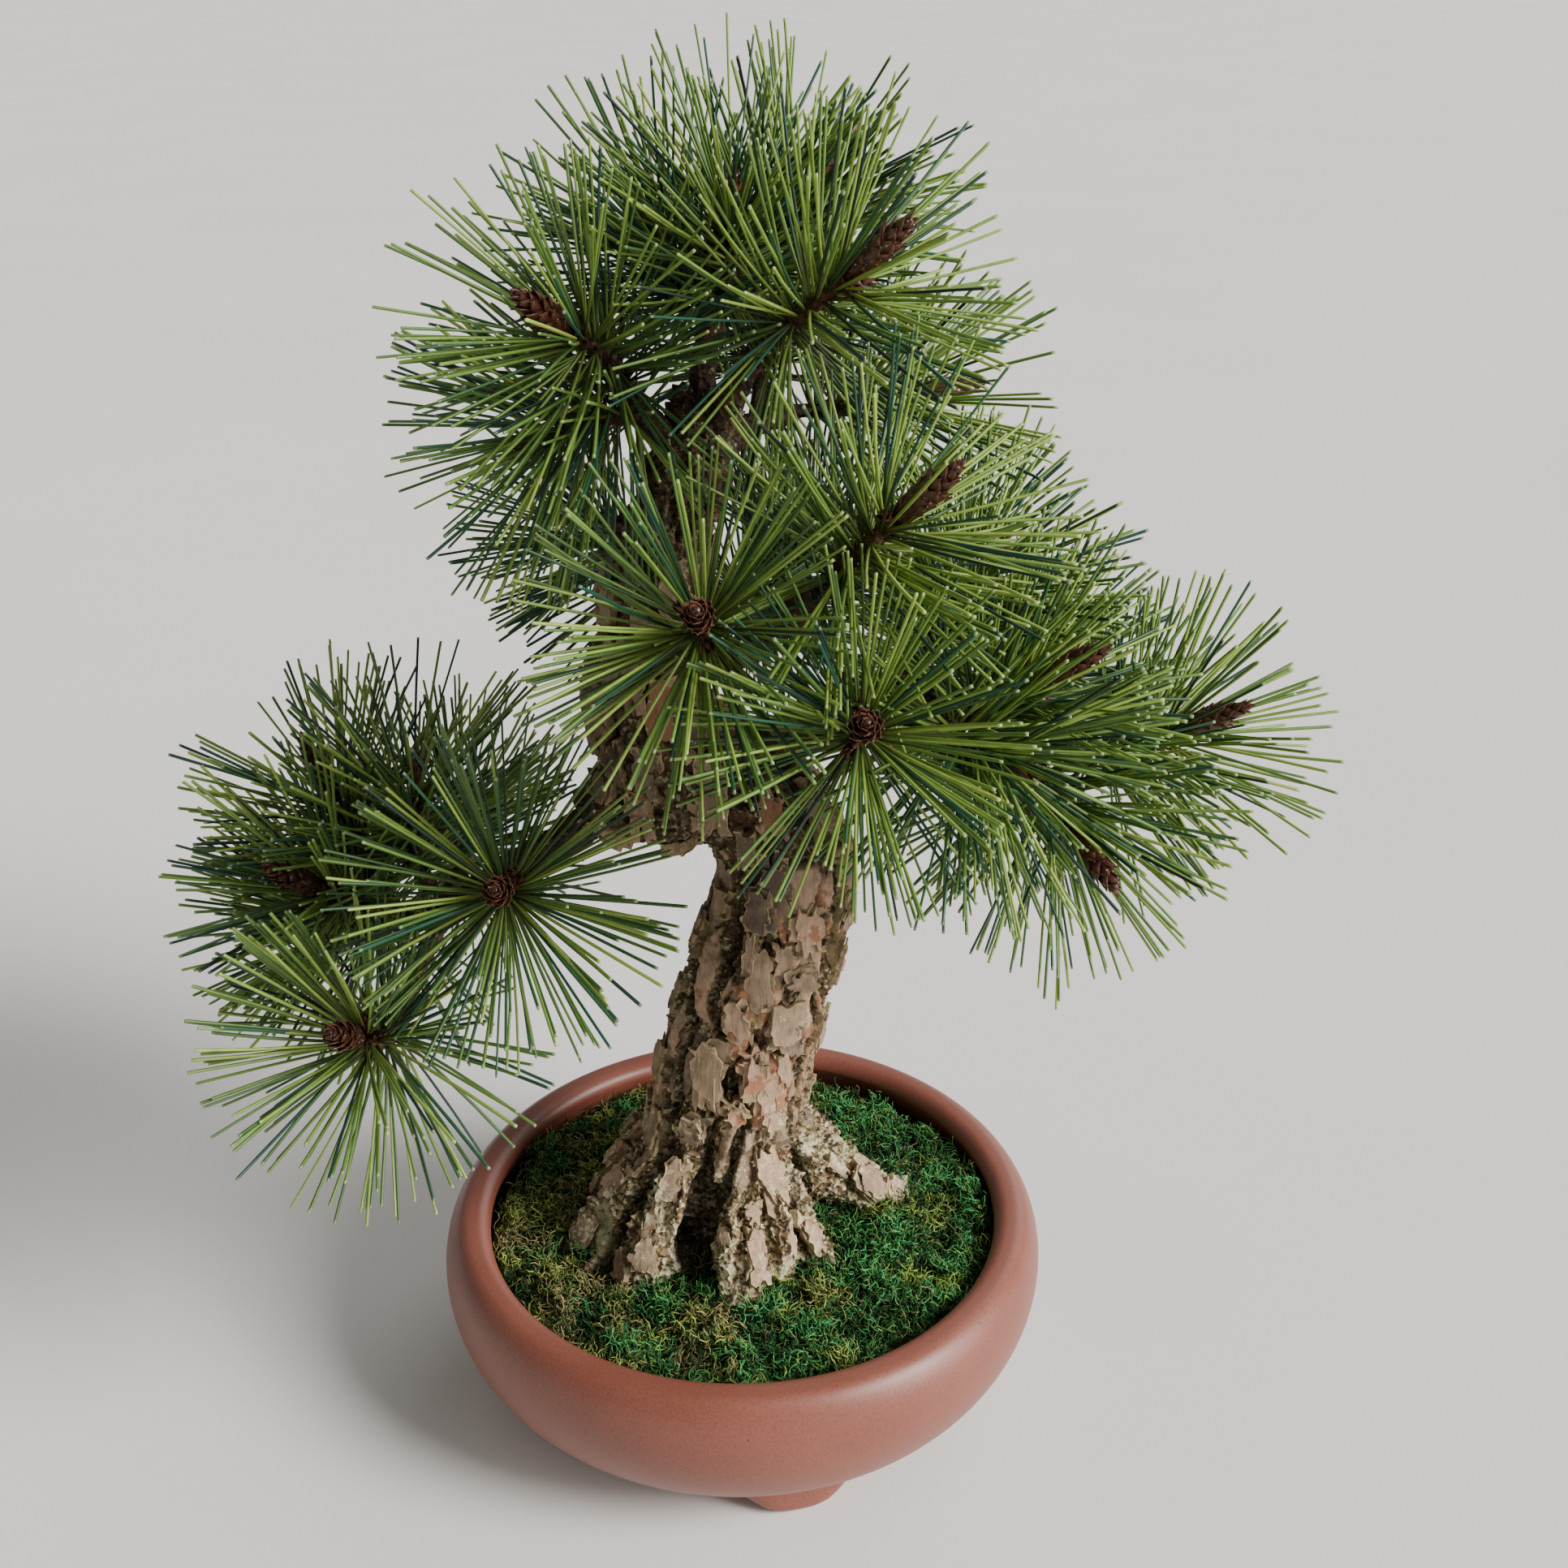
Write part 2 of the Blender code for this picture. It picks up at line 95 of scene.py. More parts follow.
# Wood that fills the angles between the roots and thickens the underside of the shoulder.
WEBS = (
    (((-14, -10, 100), 16), ((-32, -18, 80), 13), ((-45, -26, 64), 10), ((-52, -30, 46), 7)),
    (((2, -14, 100), 14), ((8, -26, 80), 12), ((11, -31, 64), 9), ((13, -34, 46), 7)),
    (((-12, 4, 100), 16), ((-34, 8, 80), 12), ((-48, 12, 64), 9), ((-54, 14, 46), 6)),
    (((-2, 12, 100), 16), ((-6, 32, 80), 12), ((-9, 46, 64), 9), ((-10, 52, 46), 6)),
    (((4, 6, 98), 14), ((22, 18, 80), 10), ((34, 27, 64), 7), ((42, 31, 46), 5)),
    (((-2, -6, 236), 9), ((-16, -7, 232), 9.5), ((-30, -6, 231), 9), ((-43, -5, 231), 7.5)),
)
# Each branch: its route, and its radius at the start and at the end
BRANCHES = {
    "left": (((-38, -1, 238), (-56, -6, 224), (-78, -10, 212), (-98, -8, 197), (-116, 0, 191)), 7, 4),
    "front": (((-26, -8, 292), (-20, -32, 298), (-14, -54, 308)), 5, 3.4),
    "right": (
        ((6, 0, 250), (30, 0, 268), (50, -12, 279), (74, -24, 279), (96, -20, 268), (110, -18, 261)),
        7.5, 3.6),
    "right_high": (((-24, -2, 276), (2, -10, 291), (20, -34, 314), (28, -54, 330)), 5.5, 3.4),
    "back": (((-24, 8, 296), (-14, 32, 292), (-6, 48, 286)), 6.5, 4.5),
    "crown_left": (((-14, -4, 352), (-25, -10, 366), (-31, -16, 376)), 4.6, 3.4),
    "crown_right": (((-8, -4, 358), (6, -14, 384), (14, -26, 396)), 4.2, 3.2),
    "crown_back": (((-8, 6, 348), (6, 20, 356), (18, 26, 358)), 4.6, 3.4),
    "apex": (((-10, 2, 364), (-8, 6, 385), (-4, 8, 398)), 4.2, 3.2),
}

# Shoots: branch, fork, middle of the tuft, direction, big bud or not, and tone from 0, dark, to 1, bright,
# which is painted light and shade: tufts in the light are brighter, tufts in shade darker
SHOOTS = {
    "apex": ("apex", 2, (0, 2, 415), (0.05, -0.1, 1.0), False, 0.5),
    "apex_left": ("apex", 1, (-20, 22, 408), (-0.6, 0.35, 0.75), False, 0.35),
    "apex_right": ("apex", 2, (18, 32, 416), (0.55, 0.3, 0.78), True, 0.6),
    "crown_left": ("crown_left", 2, (-40, -29, 392), (-0.46, -0.66, 0.52), True, 0.55),
    "crown_left_low": ("crown_left", 1, (-48, -18, 364), (-0.85, -0.25, -0.3), False, 0.4),
    "crown_right": ("crown_right", 2, (26, -40, 407), (0.68, -0.3, 0.66), True, 0.7),
    "crown_right_low": ("crown_back", 2, (45, 30, 361), (0.95, 0.15, 0.12), True, 0.55),
    "crown_back": ("crown_back", 1, (6, 58, 377), (0.0, 0.85, 0.5), False, 0.3),
    "right_high": ("right_high", 3, (40, -72, 349), (0.62, -0.35, 0.7), True, 0.8),
    "right_mid": ("right", 2, (72, -8, 310), (0.62, 0.1, 0.78), False, 0.6),
    "right_back": ("right", 2, (66, 42, 298), (0.6, 0.65, 0.4), False, 0.5),
    "right_low_back": ("right", 3, (98, 38, 262), (0.65, 0.75, -0.05), False, 0.4),
    "front": ("front", 2, (-7, -80, 326), (0.0, -0.87, 0.48), True, 0.6),
    "front_right": ("right", 2, (36, -92, 300), (0.02, -0.87, 0.48), True, 0.6),
    "right_low": ("right", 3, (72, -74, 287), (0.72, -0.62, -0.1), False, 0.5),
    "right_bud": ("right", 3, (81, -50, 291), (0.8, -0.1, 0.56), True, 0.6),
    "right_end": ("right", 5, (133, -12, 262), (0.78, -0.35, 0.5), True, 0.6),
    "right_drop": ("right", 4, (98, -48, 256), (0.45, -0.78, -0.42), True, 0.55),
    "back": ("back", 2, (24, 52, 304), (0.45, 0.5, 0.74), False, 0.3),
    "back_left": ("back", 1, (-44, 56, 308), (-0.8, 0.5, 0.2), False, 0.2),
    "back_low": ("back", 2, (2, 97, 270), (0.1, 0.97, -0.15), False, 0.35),
    "left_front": ("left", 2, (-68, -68, 237), (0.06, -0.86, 0.5), True, 0.4),
    "left_low": ("left", 3, (-114, -66, 183), (-0.15, -0.78, 0.6), True, 0.5),
    "left_up": ("left", 3, (-108, 0, 230), (0.12, 0.1, 1.0), False, 0.6),
    "left_high": ("left", 4, (-136, 18, 219), (-0.32, -0.1, 0.94), True, 0.62),
    "left_side": ("left", 4, (-132, -14, 206), (-0.5, -0.6, 0.62), True, 0.62),
    "left_end": ("left", 4, (-139, 14, 178), (-0.97, 0.15, 0.0), True, 0.6),
    "left_back": ("left", 3, (-104, 54, 196), (-0.3, 0.94, 0.15), False, 0.5),
}
CORE_HALF = 7 * MM             # half the stem length that the CAD tuft's core stands for
TWIG_RADIUS = 2.3 * MM
TWIG_STEPS = 6
NEEDLE_ZONE = 29 * MM          # stretch of twig that carries needles
BARE_NECK = 4 * MM             # bare twig between the needles and the bud
TRIES = 12                     # spots tried for each loose plate wanted
FLAKED = (66, 320)             # heights in mm between which loose plates lie
OUTSIDE = 120 * MM             # from the trunk's axis to where a plate's place is looked for
GOLDEN_TURN = 2.39996          # radians from one needle sheath or bud scale to the next


# ---- Colours and nodes ----
# Sockets by number: Mix takes its factor as 0 and its colours as 6 and 7, and gives a colour as output 2;
# Map Range takes its value as 0, the range read as 1 and 2, and the range given as 3 and 4.
BLEND = {"output": 2, "data_type": "RGBA"}
MULTIPLY = {**BLEND, "blend_type": "MULTIPLY"}


def linear(hex_color):
    """An sRGB hex value as linear red, green and blue, and an alpha of 1."""
    channels = [int(hex_color[i:i + 2], 16) / 255 for i in (1, 3, 5)]
    return (*(c / 12.92 if c <= 0.04045 else ((c + 0.055) / 1.055) ** 2.4 for c in channels), 1.0)


def connect(node, inputs):
    """Set a node's sockets to values, or link them to other nodes' sockets."""
    for socket, value in inputs.items():
        if isinstance(value, bpy.types.NodeSocket):
            node.id_data.links.new(value, node.inputs[socket])
        else:
            node.inputs[socket].default_value = value


def add_node(tree, kind, inputs, output=0, stops=(), **settings):
    """Add a node with its own settings, inputs and colour stops, where a number is a grey, and return
    one of its outputs."""
    node = tree.nodes.new("ShaderNode" + kind)
    for key, value in settings.items():
        setattr(node, key, value)
    for index, (position, color) in enumerate(stops):
        elements = node.color_ramp.elements
        if index == 0:
            elements.remove(elements[-1])
            elements[0].position = position
        element = elements[0] if index == 0 else elements.new(position)
        element.color = (color, color, color, 1.0) if isinstance(color, float) else color
    connect(node, inputs)
    return node.outputs[output]


def new_material(name):
    """A material, the function that adds its nodes, its shader, and the place on the object."""
    material = bpy.data.materials.new(name)
    material.use_nodes = True
    add = functools.partial(add_node, material.node_tree)
    return material, add, material.node_tree.nodes["Principled BSDF"], add("TexCoord", {}, "Object")


def varied(add, color, pattern, *stops):
    """A colour made darker or lighter by a pattern; each stop is a level of it and a brightness."""
    tone = add("ValToRGB", {0: pattern}, stops=stops)
    return add("Mix", {0: 1.0, 6: color, 7: tone}, **MULTIPLY)


def covered(add, color, cover, pattern, *stops):
    """A colour with another over it; each stop is a level of the pattern and how much it covers."""
    mask = add("ValToRGB", {0: pattern}, stops=stops)
    return add("Mix", {0: mask, 6: color, 7: cover}, **BLEND)


def speckled(add, color, cover, place, scale, rarity, *stops):
    """A colour with round specks in some cells of a pattern."""
    cells = add("TexVoronoi", {"Vector": place, "Scale": scale})
    near = add("ValToRGB", {0: cells}, stops=stops)
    chosen = add("Math", {0: cells.node.outputs["Color"], 1: rarity}, operation="GREATER_THAN")
    mask = add("Math", {0: near, 1: chosen}, operation="MULTIPLY")
    return add("Mix", {0: mask, 6: color, 7: cover}, **BLEND)


# ---- Meshes ----
def clamp(value):
    return min(max(value, 0.0), 1.0)


def smoothstep(low, high, value):
    t = clamp((value - low) / (high - low))
    return t * t * (3 - 2 * t)


def circle(sides):
    """Cosine and sine of evenly spaced angles."""
    angles = [2 * math.pi * step / sides for step in range(sides)]
    return [(math.cos(angle), math.sin(angle)) for angle in angles]


def square_to(direction):
    """Two directions square to one direction and to each other."""
    side = direction.orthogonal().normalized()
    return side, direction.cross(side)


def turned(first, second, angle):
    """A direction turned by an angle towards a second one."""
    return first * math.cos(angle) + second * math.sin(angle)


def link(name, data):
    """An object in the scene for a mesh, a lamp or a camera."""
    obj = bpy.data.objects.new(name, data)
    bpy.context.scene.collection.objects.link(obj)
    return obj


def finish_piece(name, mesh, material, replaced):
    """Make the named piece, let it ride on the tree and hide the CAD nodes it stands for."""
    mesh.name = name
    mesh.materials.clear()
    mesh.materials.append(material)
    mesh.shade_smooth()
    piece = link(name, mesh)
    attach(piece, "root")
    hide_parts(*replaced)
    return piece


def bmesh_with(*layers):
    """An empty bmesh whose points carry the named values."""
    bm = bmesh.new()
    for name in layers:
        bm.verts.layers.float.new(name)
    return bm


def to_mesh(bm):
    mesh = bpy.data.meshes.new("piece")
    bm.to_mesh(mesh)
    bm.free()
    return mesh


def closed_mesh(bm):
    """A closed shell as a mesh, with its faces pointing outwards."""
    bmesh.ops.recalc_face_normals(bm, faces=bm.faces)
    return to_mesh(bm)


def evaluated_copy(mesh, modifiers):
    """The mesh as modifiers, each a kind and its settings, leave it."""
    obj = link("work", mesh)
    for kind, settings in modifiers:
        modifier = obj.modifiers.new(kind, kind)
        for key, value in settings.items():
            setattr(modifier, key, value)
    result = bpy.data.meshes.new_from_object(obj.evaluated_get(bpy.context.evaluated_depsgraph_get()))
    bpy.data.objects.remove(obj)
    bpy.data.meshes.remove(mesh)
    return result


def cut(bm, place, normal, clear=False):
    """Cut through everything with a plane, and clear what lies beyond it if asked."""
    bmesh.ops.bisect_plane(
        bm, geom=bm.verts[:] + bm.edges[:] + bm.faces[:], plane_co=place, plane_no=normal, clear_outer=clear)


def loft(bm, sections):
    """Add a closed solid through rings of equally many points, by extruding a face from ring to ring."""
    spoke = bm.verts.layers.int.get("spoke") or bm.verts.layers.int.new("spoke")
    made = bmesh.ops.create_circle(bm, cap_ends=True, segments=len(sections[0]), radius=1.0)["verts"]
    for index, vert in enumerate(made):
        vert[spoke] = index
        vert.co = sections[0][index]
    first = face = made[0].link_faces[0]
    for section in sections[1:]:
        grown = bmesh.ops.extrude_face_region(bm, geom=[face])["geom"]
        if face is not first:
            bm.faces.remove(face)
        face = next(item for item in grown if isinstance(item, bmesh.types.BMFace))
        for vert in face.verts:
            vert.co = section[vert[spoke]]


def smooth_route(points, radii, spacing):
    """Points and radii read from a smooth curve through a route's own points."""
    curve_points, curve_radii = [], []
    last = len(points) - 1
    for i in range(last):
        a, b, c, d = points[max(i - 1, 0)], points[i], points[i + 1], points[min(i + 2, last)]
        count = max(1, round((c - b).length / spacing))
        for t in (step / count for step in range(count)):
            curve_points.append(0.5 * (2 * b + (c - a) * t + (2 * a - 5 * b + 4 * c - d) * t * t
                                       + (3 * b - a - 3 * c + d) * t ** 3))
            curve_radii.append(radii[i] + (radii[i + 1] - radii[i]) * t)
    return curve_points + [points[-1]], curve_radii + [radii[-1]]


def tube_sections(points, radii, sides):
    """Rings square to a route, carried along it without twisting."""
    last = len(points) - 1
    tangents = [(points[min(i + 1, last)] - points[max(i - 1, 0)]).normalized() for i in range(last + 1)]
    across = tangents[0].orthogonal().normalized()
    sections = []
    for index, (point, radius) in enumerate(zip(points, radii)):
        if index:
            across = tangents[index - 1].rotation_difference(tangents[index]) @ across
        other = tangents[index].cross(across)
        sections.append([point + radius * (x * across + y * other) for x, y in circle(sides)])
    return sections


def add_limb(bm, route, sides, spacing):
    """A round tapered limb along a route of ((x, y, z), radius) in millimetres."""
    points = [Vector(place) * MM for place, _ in route]
    radii = [radius * MM for _, radius in route]
    loft(bm, tube_sections(*smooth_route(points, radii, spacing), sides))


def union_by_voxels(bm, voxel, rounds):
    """Merge overlapping closed limbs into one even skin, and soften its joints."""
    return evaluated_copy(closed_mesh(bm), (
        ("REMESH", {"mode": "VOXEL", "voxel_size": voxel}),
        ("SMOOTH", {"factor": 0.5, "iterations": rounds})))


def stamp(bm, template, place, **values):
    """Add a template mesh with its points moved by a function. Its attributes are numbers, or functions
    of the template's points."""
    start = len(bm.verts)
    bm.from_mesh(template)
    bm.verts.ensure_lookup_table()
    layers = [(bm.verts.layers.float[name], value) for name, value in values.items()]
    for index in range(start, len(bm.verts)):
        vert = bm.verts[index]
        for layer, value in layers:
            vert[layer] = value(vert.co) if callable(value) else value
        vert.co = place(vert.co)


def strand_template(sides, stations, taper):
    """A straight strand from z = 0 to z = 1 with a ring at each station; taper gives its relative radius."""
    bm = bmesh.new()
    loft(bm, [[Vector((taper(z) * x, taper(z) * y, z)) for x, y in circle(sides)] for z in stations])
    bm.verts.layers.int.remove(bm.verts.layers.int["spoke"])
    return closed_mesh(bm)


# ---- Shape of the wood ----
PLATE_WIDTH = 15.0             # mm across a bark plate; it is twice as tall
GIRTH_RADIUS = 27.0            # mm, a typical radius of the trunk


def trunk_at(height):
    """Middle and radius of the trunk at a height, in millimetres."""
    for (low, low_radius), (high, high_radius) in zip(TRUNK, TRUNK[1:]):
        if height < high[2]:
            t = max(0.0, (height - low[2]) / (high[2] - low[2]))
            return (low[0] + (high[0] - low[0]) * t, low[1] + (high[1] - low[1]) * t,
                    low_radius + (high_radius - low_radius) * t)
    return (*TRUNK[-1][0][:2], TRUNK[-1][1])


def around_and_along(point):
    """A point's place round the trunk and down it, in millimetres, running outwards along the roots."""
    x, y, radius = trunk_at(point.z)
    out = Vector((point.x - x, point.y - y, 0))
    spread = max(out.length, 1.0)
    ring = out * (GIRTH_RADIUS / spread)
    return Vector((ring.x, ring.y, point.z - 0.9 * max(spread - radius, 0.0)))


# Large plates on the front: (height in mm, degrees round from +X, half width, half height, tone from 0,
# grey, to 1, orange); the dark tones of the plates high on the left are partly bark colour and partly
# painted shade
PLATES = (
    (140, -115, 6.5, 14, 0.4), (142, -80, 5.5, 11, 0.72), (164, -104, 5.5, 8.5, 0.5), (161, -66, 7, 10, 0.4),
    (127, -88, 5, 4.5, 0.85), (101, -58, 5.5, 13, 0.7), (79, -71, 4.5, 10, 0.62), (89, -160, 6, 9, 0.5),
    (79, -122, 5, 8, 0.35), (70, -161, 5, 8, 0.15), (75, -36, 3.2, 9, 0.7), (197, -68, 6.5, 12, 0.62),
    (179, -64, 7, 5.5, 0.15), (121, -57, 5, 7, 0.5), (117, -118, 5, 6, 0.3), (205, -108, 6, 10, 0.12),
    (187, -108, 2.8, 10, 0.35), (112, -152, 5, 11, 0.2), (76, 6, 6, 10, 0.45),
    (186, -174, 4, 8, 0.15), (160, -178, 4.5, 9, 0.2), (134, -170, 4.5, 9, 0.12), (112, -174, 5, 9, 0.25),
    (198, -20, 4, 8, 0.3), (176, -14, 4, 9, 0.45), (150, -18, 4.5, 10, 0.5), (124, -14, 4.5, 8, 0.4),
)
# The trunk's bark in three pieces: lowest and highest point in mm, and how coarse its mesh is.
BARKED_PIECES = {
    "barked_roots": (48, 112, 1.0), "barked_trunk": (108, 206, 1.0), "barked_crown_wood": (201, 400, 1.4),
}
# Deep furrows down the trunk: half width and depth at the foot in mm, and (height in mm, degrees round
# from +X) from the top of each to its foot.
FURROWS = (
    (5.2, 11, ((225, -130), (184, -127), (160, -122), (138, -102), (107, -103), (86, -100), (50, -99))),
    (3.0, 8, ((190, -158), (160, -150), (140, -140), (118, -139), (96, -136), (50, -146))),
    (2.5, 7, ((172, -88), (150, -90), (136, -93), (120, -76), (104, -85), (88, -98), (50, -99))),
    (2.5, 8, ((236, -40), (200, -34), (160, -36), (114, -36), (96, -32), (50, -36))),
    (3.0, 8, ((180, -190), (140, -178), (100, -176), (50, -172))),
    (3.0, 8, ((255, 60), (200, 70), (150, 62), (100, 52), (50, 50))),
    (3.0, 8, ((230, 128), (180, 118), (130, 112), (90, 100), (50, 92))),
    (3.0, 7, ((170, 10), (130, -2), (96, -14), (50, -18))),
)


def furrow_at(point):
    """Depth of the furrow that a point lies in, in millimetres."""
    x, y, _ = trunk_at(point.z)
    around = math.degrees(math.atan2(point.y - y, point.x - x))
    spread = math.hypot(point.x - x, point.y - y)
    wander = 9 * noise.noise(Vector((point.z / 16, 0.3, 7.0)))
    low = 1 - smoothstep(84, 112, point.z)
    deepest = 0.0
    for foot_width, foot_depth, places in FURROWS:
        for (high, first), (low_end, second) in zip(places, places[1:]):
            if low_end <= point.z < high:
                t = (point.z - low_end) / (high - low_end)
                gap = (around - (second + (first - second) * t) - wander + 180) % 360 - 180
                away = abs(math.radians(gap)) * spread
                ends = smoothstep(places[0][0], places[0][0] - 25, point.z)
                width = 1.6 + (foot_width - 1.6) * low
                depth = 5.0 + (foot_depth - 5.0) * low
                deepest = max(deepest, ends * depth * (1 - smoothstep(0.5 * width, width + 1.6, away)))
    return deepest


def clear_of_furrows(spot, half_width):
    """True where neither a spot nor its two sides lie in a furrow."""
    x, y, _ = trunk_at(spot.z)
    side = Vector((y - spot.y, spot.x - x, 0)).normalized() * half_width
    return max(furrow_at(spot), furrow_at(spot + side), furrow_at(spot - side)) == 0


def ridged(point):
    """Sharp crests, from 0 between them to 1 on top."""
    return max(0.0, 1 - 2.4 * abs(noise.noise(point)))


def bark_relief(point):
    """Height of bark over the wood in millimetres, its share of plate, the plate's number, and the share of
    painted shade that the depth of its furrow gives.
    """
    place = around_and_along(point)
    base = 1 - smoothstep(92, 128, point.z)
    top = smoothstep(205, 240, point.z)
    bent = place + noise.noise_vector(place * 0.07) * 3.5 + noise.noise_vector(place * 0.35) * 0.9
    cell = Vector((bent.x / PLATE_WIDTH, bent.y / PLATE_WIDTH, bent.z / (2.1 * PLATE_WIDTH)))
    distances, centers = noise.voronoi(cell)
    edge = distances[1] - distances[0]
    number = noise.cell_vector(centers[0] * 31.7)
    rough = 0.06 * noise.noise(point * 0.6)
    kept = number.z > 0.35 + 0.5 * base + 0.65 * top
    out = smoothstep(0.05, 0.09, edge + rough) if kept else 0.0
    height = -2.2
    if kept:
        tilt = (cell - centers[0]).dot(number - Vector((0.5, 0.5, 0.5))) * 2.4
        height += out * (2.0 + 2.2 * number.x + tilt)
        height += 0.8 * smoothstep(0.17, 0.20, edge + rough) + 0.7 * smoothstep(0.30, 0.33, edge + rough)
    furrow = furrow_at(point)
    height -= furrow
    out *= 1 - min(furrow / 2.5, 1.0)
    # Thin upright layers of cork stand between the plates.
    layers = Vector((bent.x, bent.y, bent.z * 0.2))
    crests = ridged(layers * 0.13) ** 2 * 3.2 + ridged(layers * 0.34 + Vector((5, 1, 9))) ** 2 * 1.3
    crumbs = noise.fractal(point * 0.5, 0.75, 2.1, 4)
    lumps = noise.fractal(Vector((bent.x, bent.y, bent.z * 0.5)) * 0.11, 0.9, 2.0, 2) * 4.2 * top
    height += (crests * (1 + 0.5 * base) + crumbs * 1.1 + lumps) * (1 - out) + crumbs * 0.3 * out
    return height, out, number.y, min(furrow / 9.0, 0.62)


def cork_relief(point):
    """Height of granular unplated cork in millimetres."""
    lumps = noise.fractal(point * 0.12, 0.9, 2.0, 3) * 1.3
    return lumps + noise.fractal(point * 0.5, 0.7, 2.1, 4) * 0.9


def search_tree(meshes):
    """Several meshes as one search tree."""
    points, faces = [], []
    for mesh in meshes:
        faces += [[len(points) + index for index in polygon.vertices] for polygon in mesh.polygons]
        points += [vertex.co.copy() for vertex in mesh.vertices]
    return BVHTree.FromPolygons(points, faces)


def displace_bark(mesh, relief):
    """Push each point of a skin out by its bark and store what the bark material needs."""
    names = ("raised", "plate", "painted_shade", "worn")
    layers = [mesh.attributes.new(name, "FLOAT", "POINT") for name in names]
    normals = [vertex.normal.copy() for vertex in mesh.vertices]
    for vertex, normal in zip(mesh.vertices, normals):
        height, out, plate, painted_shade = relief(vertex.co / MM)
        vertex.co += normal * height * MM
        worn = 4 * out * (1 - out)
        for layer, value in zip(layers, (out, plate, painted_shade, worn)):
            layer.data[vertex.index].value = value
    mesh.update()


# ---- Settings ----
def color_setting(name, description, hex_color):
    return bpy.props.FloatVectorProperty(
        name=name, description=description, subtype="COLOR", size=4, min=0.0, max=1.0,
        default=linear(hex_color))


def length_setting(name, description, length):
    return bpy.props.FloatProperty(name=name, description=description, unit="LENGTH", default=length)


def count_setting(name, description, count):
    return bpy.props.IntProperty(name=name, description=description, default=count, min=10)


class PotSettings(bpy.types.PropertyGroup):
    radius: length_setting("Belly radius", "Radius of the bowl at its widest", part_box("pot")[1].x)
    height: length_setting("Height", "Height of the rim above the surface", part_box("pot")[1].z)
    clay: color_setting("Clay", "Fired colour of the clay", "#885041")
    clay_dark: color_setting("Dark clay", "Colour where the fire left the clay darker", "#733F32")


class MossSettings(bpy.types.PropertyGroup):
    strands: count_setting("Strands", "How many moss strands grow on the mat", 20000)
    thickness: length_setting("Strand thickness", "Thickness of a strand", 0.7 * MM)
    bright: color_setting("Bright", "Fresh moss", "#3F9A58")
    middle: color_setting("Middle", "Older moss", "#44702F")
    olive: color_setting("Olive", "Drying moss", "#8C8A52")
    # Painted shade: the colour at the dark end of the moss scale, given mostly to strands between the
    # clumps.
    painted_shade: color_setting("Deep", "Moss in its own shade", "#14241A")


class BarkSettings(bpy.types.PropertyGroup):
    voxel: length_setting("Skin size", "Edge length of the trunk's skin", 0.7 * MM)
    flakes: count_setting("Flakes", "How many loose plates lie on the trunk", 130)
    plate_grey: color_setting("Grey plate", "Old plate", "#5F5245")
    plate_tan: color_setting("Tan plate", "Weathered plate", "#967F68")
    plate_warm: color_setting("Warm plate", "Freshly flaked plate", "#B2937A")
    plate_orange: color_setting("Orange plate", "Inner bark", "#9A6E52")
    # The crevice colour is the darkest cork crumb, and also the painted shade in the furrows.
    crevice: color_setting("Crevice", "Deep crack between the plates", "#2A2118")
    lichen: color_setting("Lichen", "Dry lichen near the roots", "#C3BC98")


class NeedleSettings(bpy.types.PropertyGroup):
    length: length_setting("Needle length", "Length of a needle", 54 * MM)
    thickness: length_setting("Needle thickness", "Thickness of a needle", 1.05 * MM)
    count: count_setting("Needles", "Needles on one shoot", 177)
    bright: color_setting("Bright", "Young needle", "#93A94C")
    middle: color_setting("Middle", "Grown needle", "#6B8837")
    dark: color_setting("Dark", "Old needle", "#3A5A2B")
    blue: color_setting("Blue-green", "Needle of the second year", "#1F4A38")
    # Painted shade: the black-green stands for needles deep in a tuft.
    painted_shade_black: color_setting("Black-green", "Needle deep in the tuft", "#18241E")


class BudSettings(bpy.types.PropertyGroup):
    length: length_setting("Bud length", "Length of a full bud", 25 * MM)
    scale_color: color_setting("Scale", "Bud scale", "#4A2A20")
    edge_color: color_setting("Scale edge", "Dry edge of a scale", "#6E4B39")
    resin: color_setting("Resin", "Pale resin specks", "#D9D2C4")


SETTINGS = {
    "bonsai_pot": PotSettings, "bonsai_moss": MossSettings, "bonsai_bark": BarkSettings,
    "bonsai_needles": NeedleSettings, "bonsai_buds": BudSettings,
}


# ---- Pot ----
FOOT_TURNS = (-76, 44, 164)    # degrees round from +X
FOOT_RINGS = (                 # height and width in mm
    (0, 17), (0.5, 21), (1.6, 24), (3.5, 28), (5.5, 33), (7.5, 39), (9.5, 46), (12, 56),
)


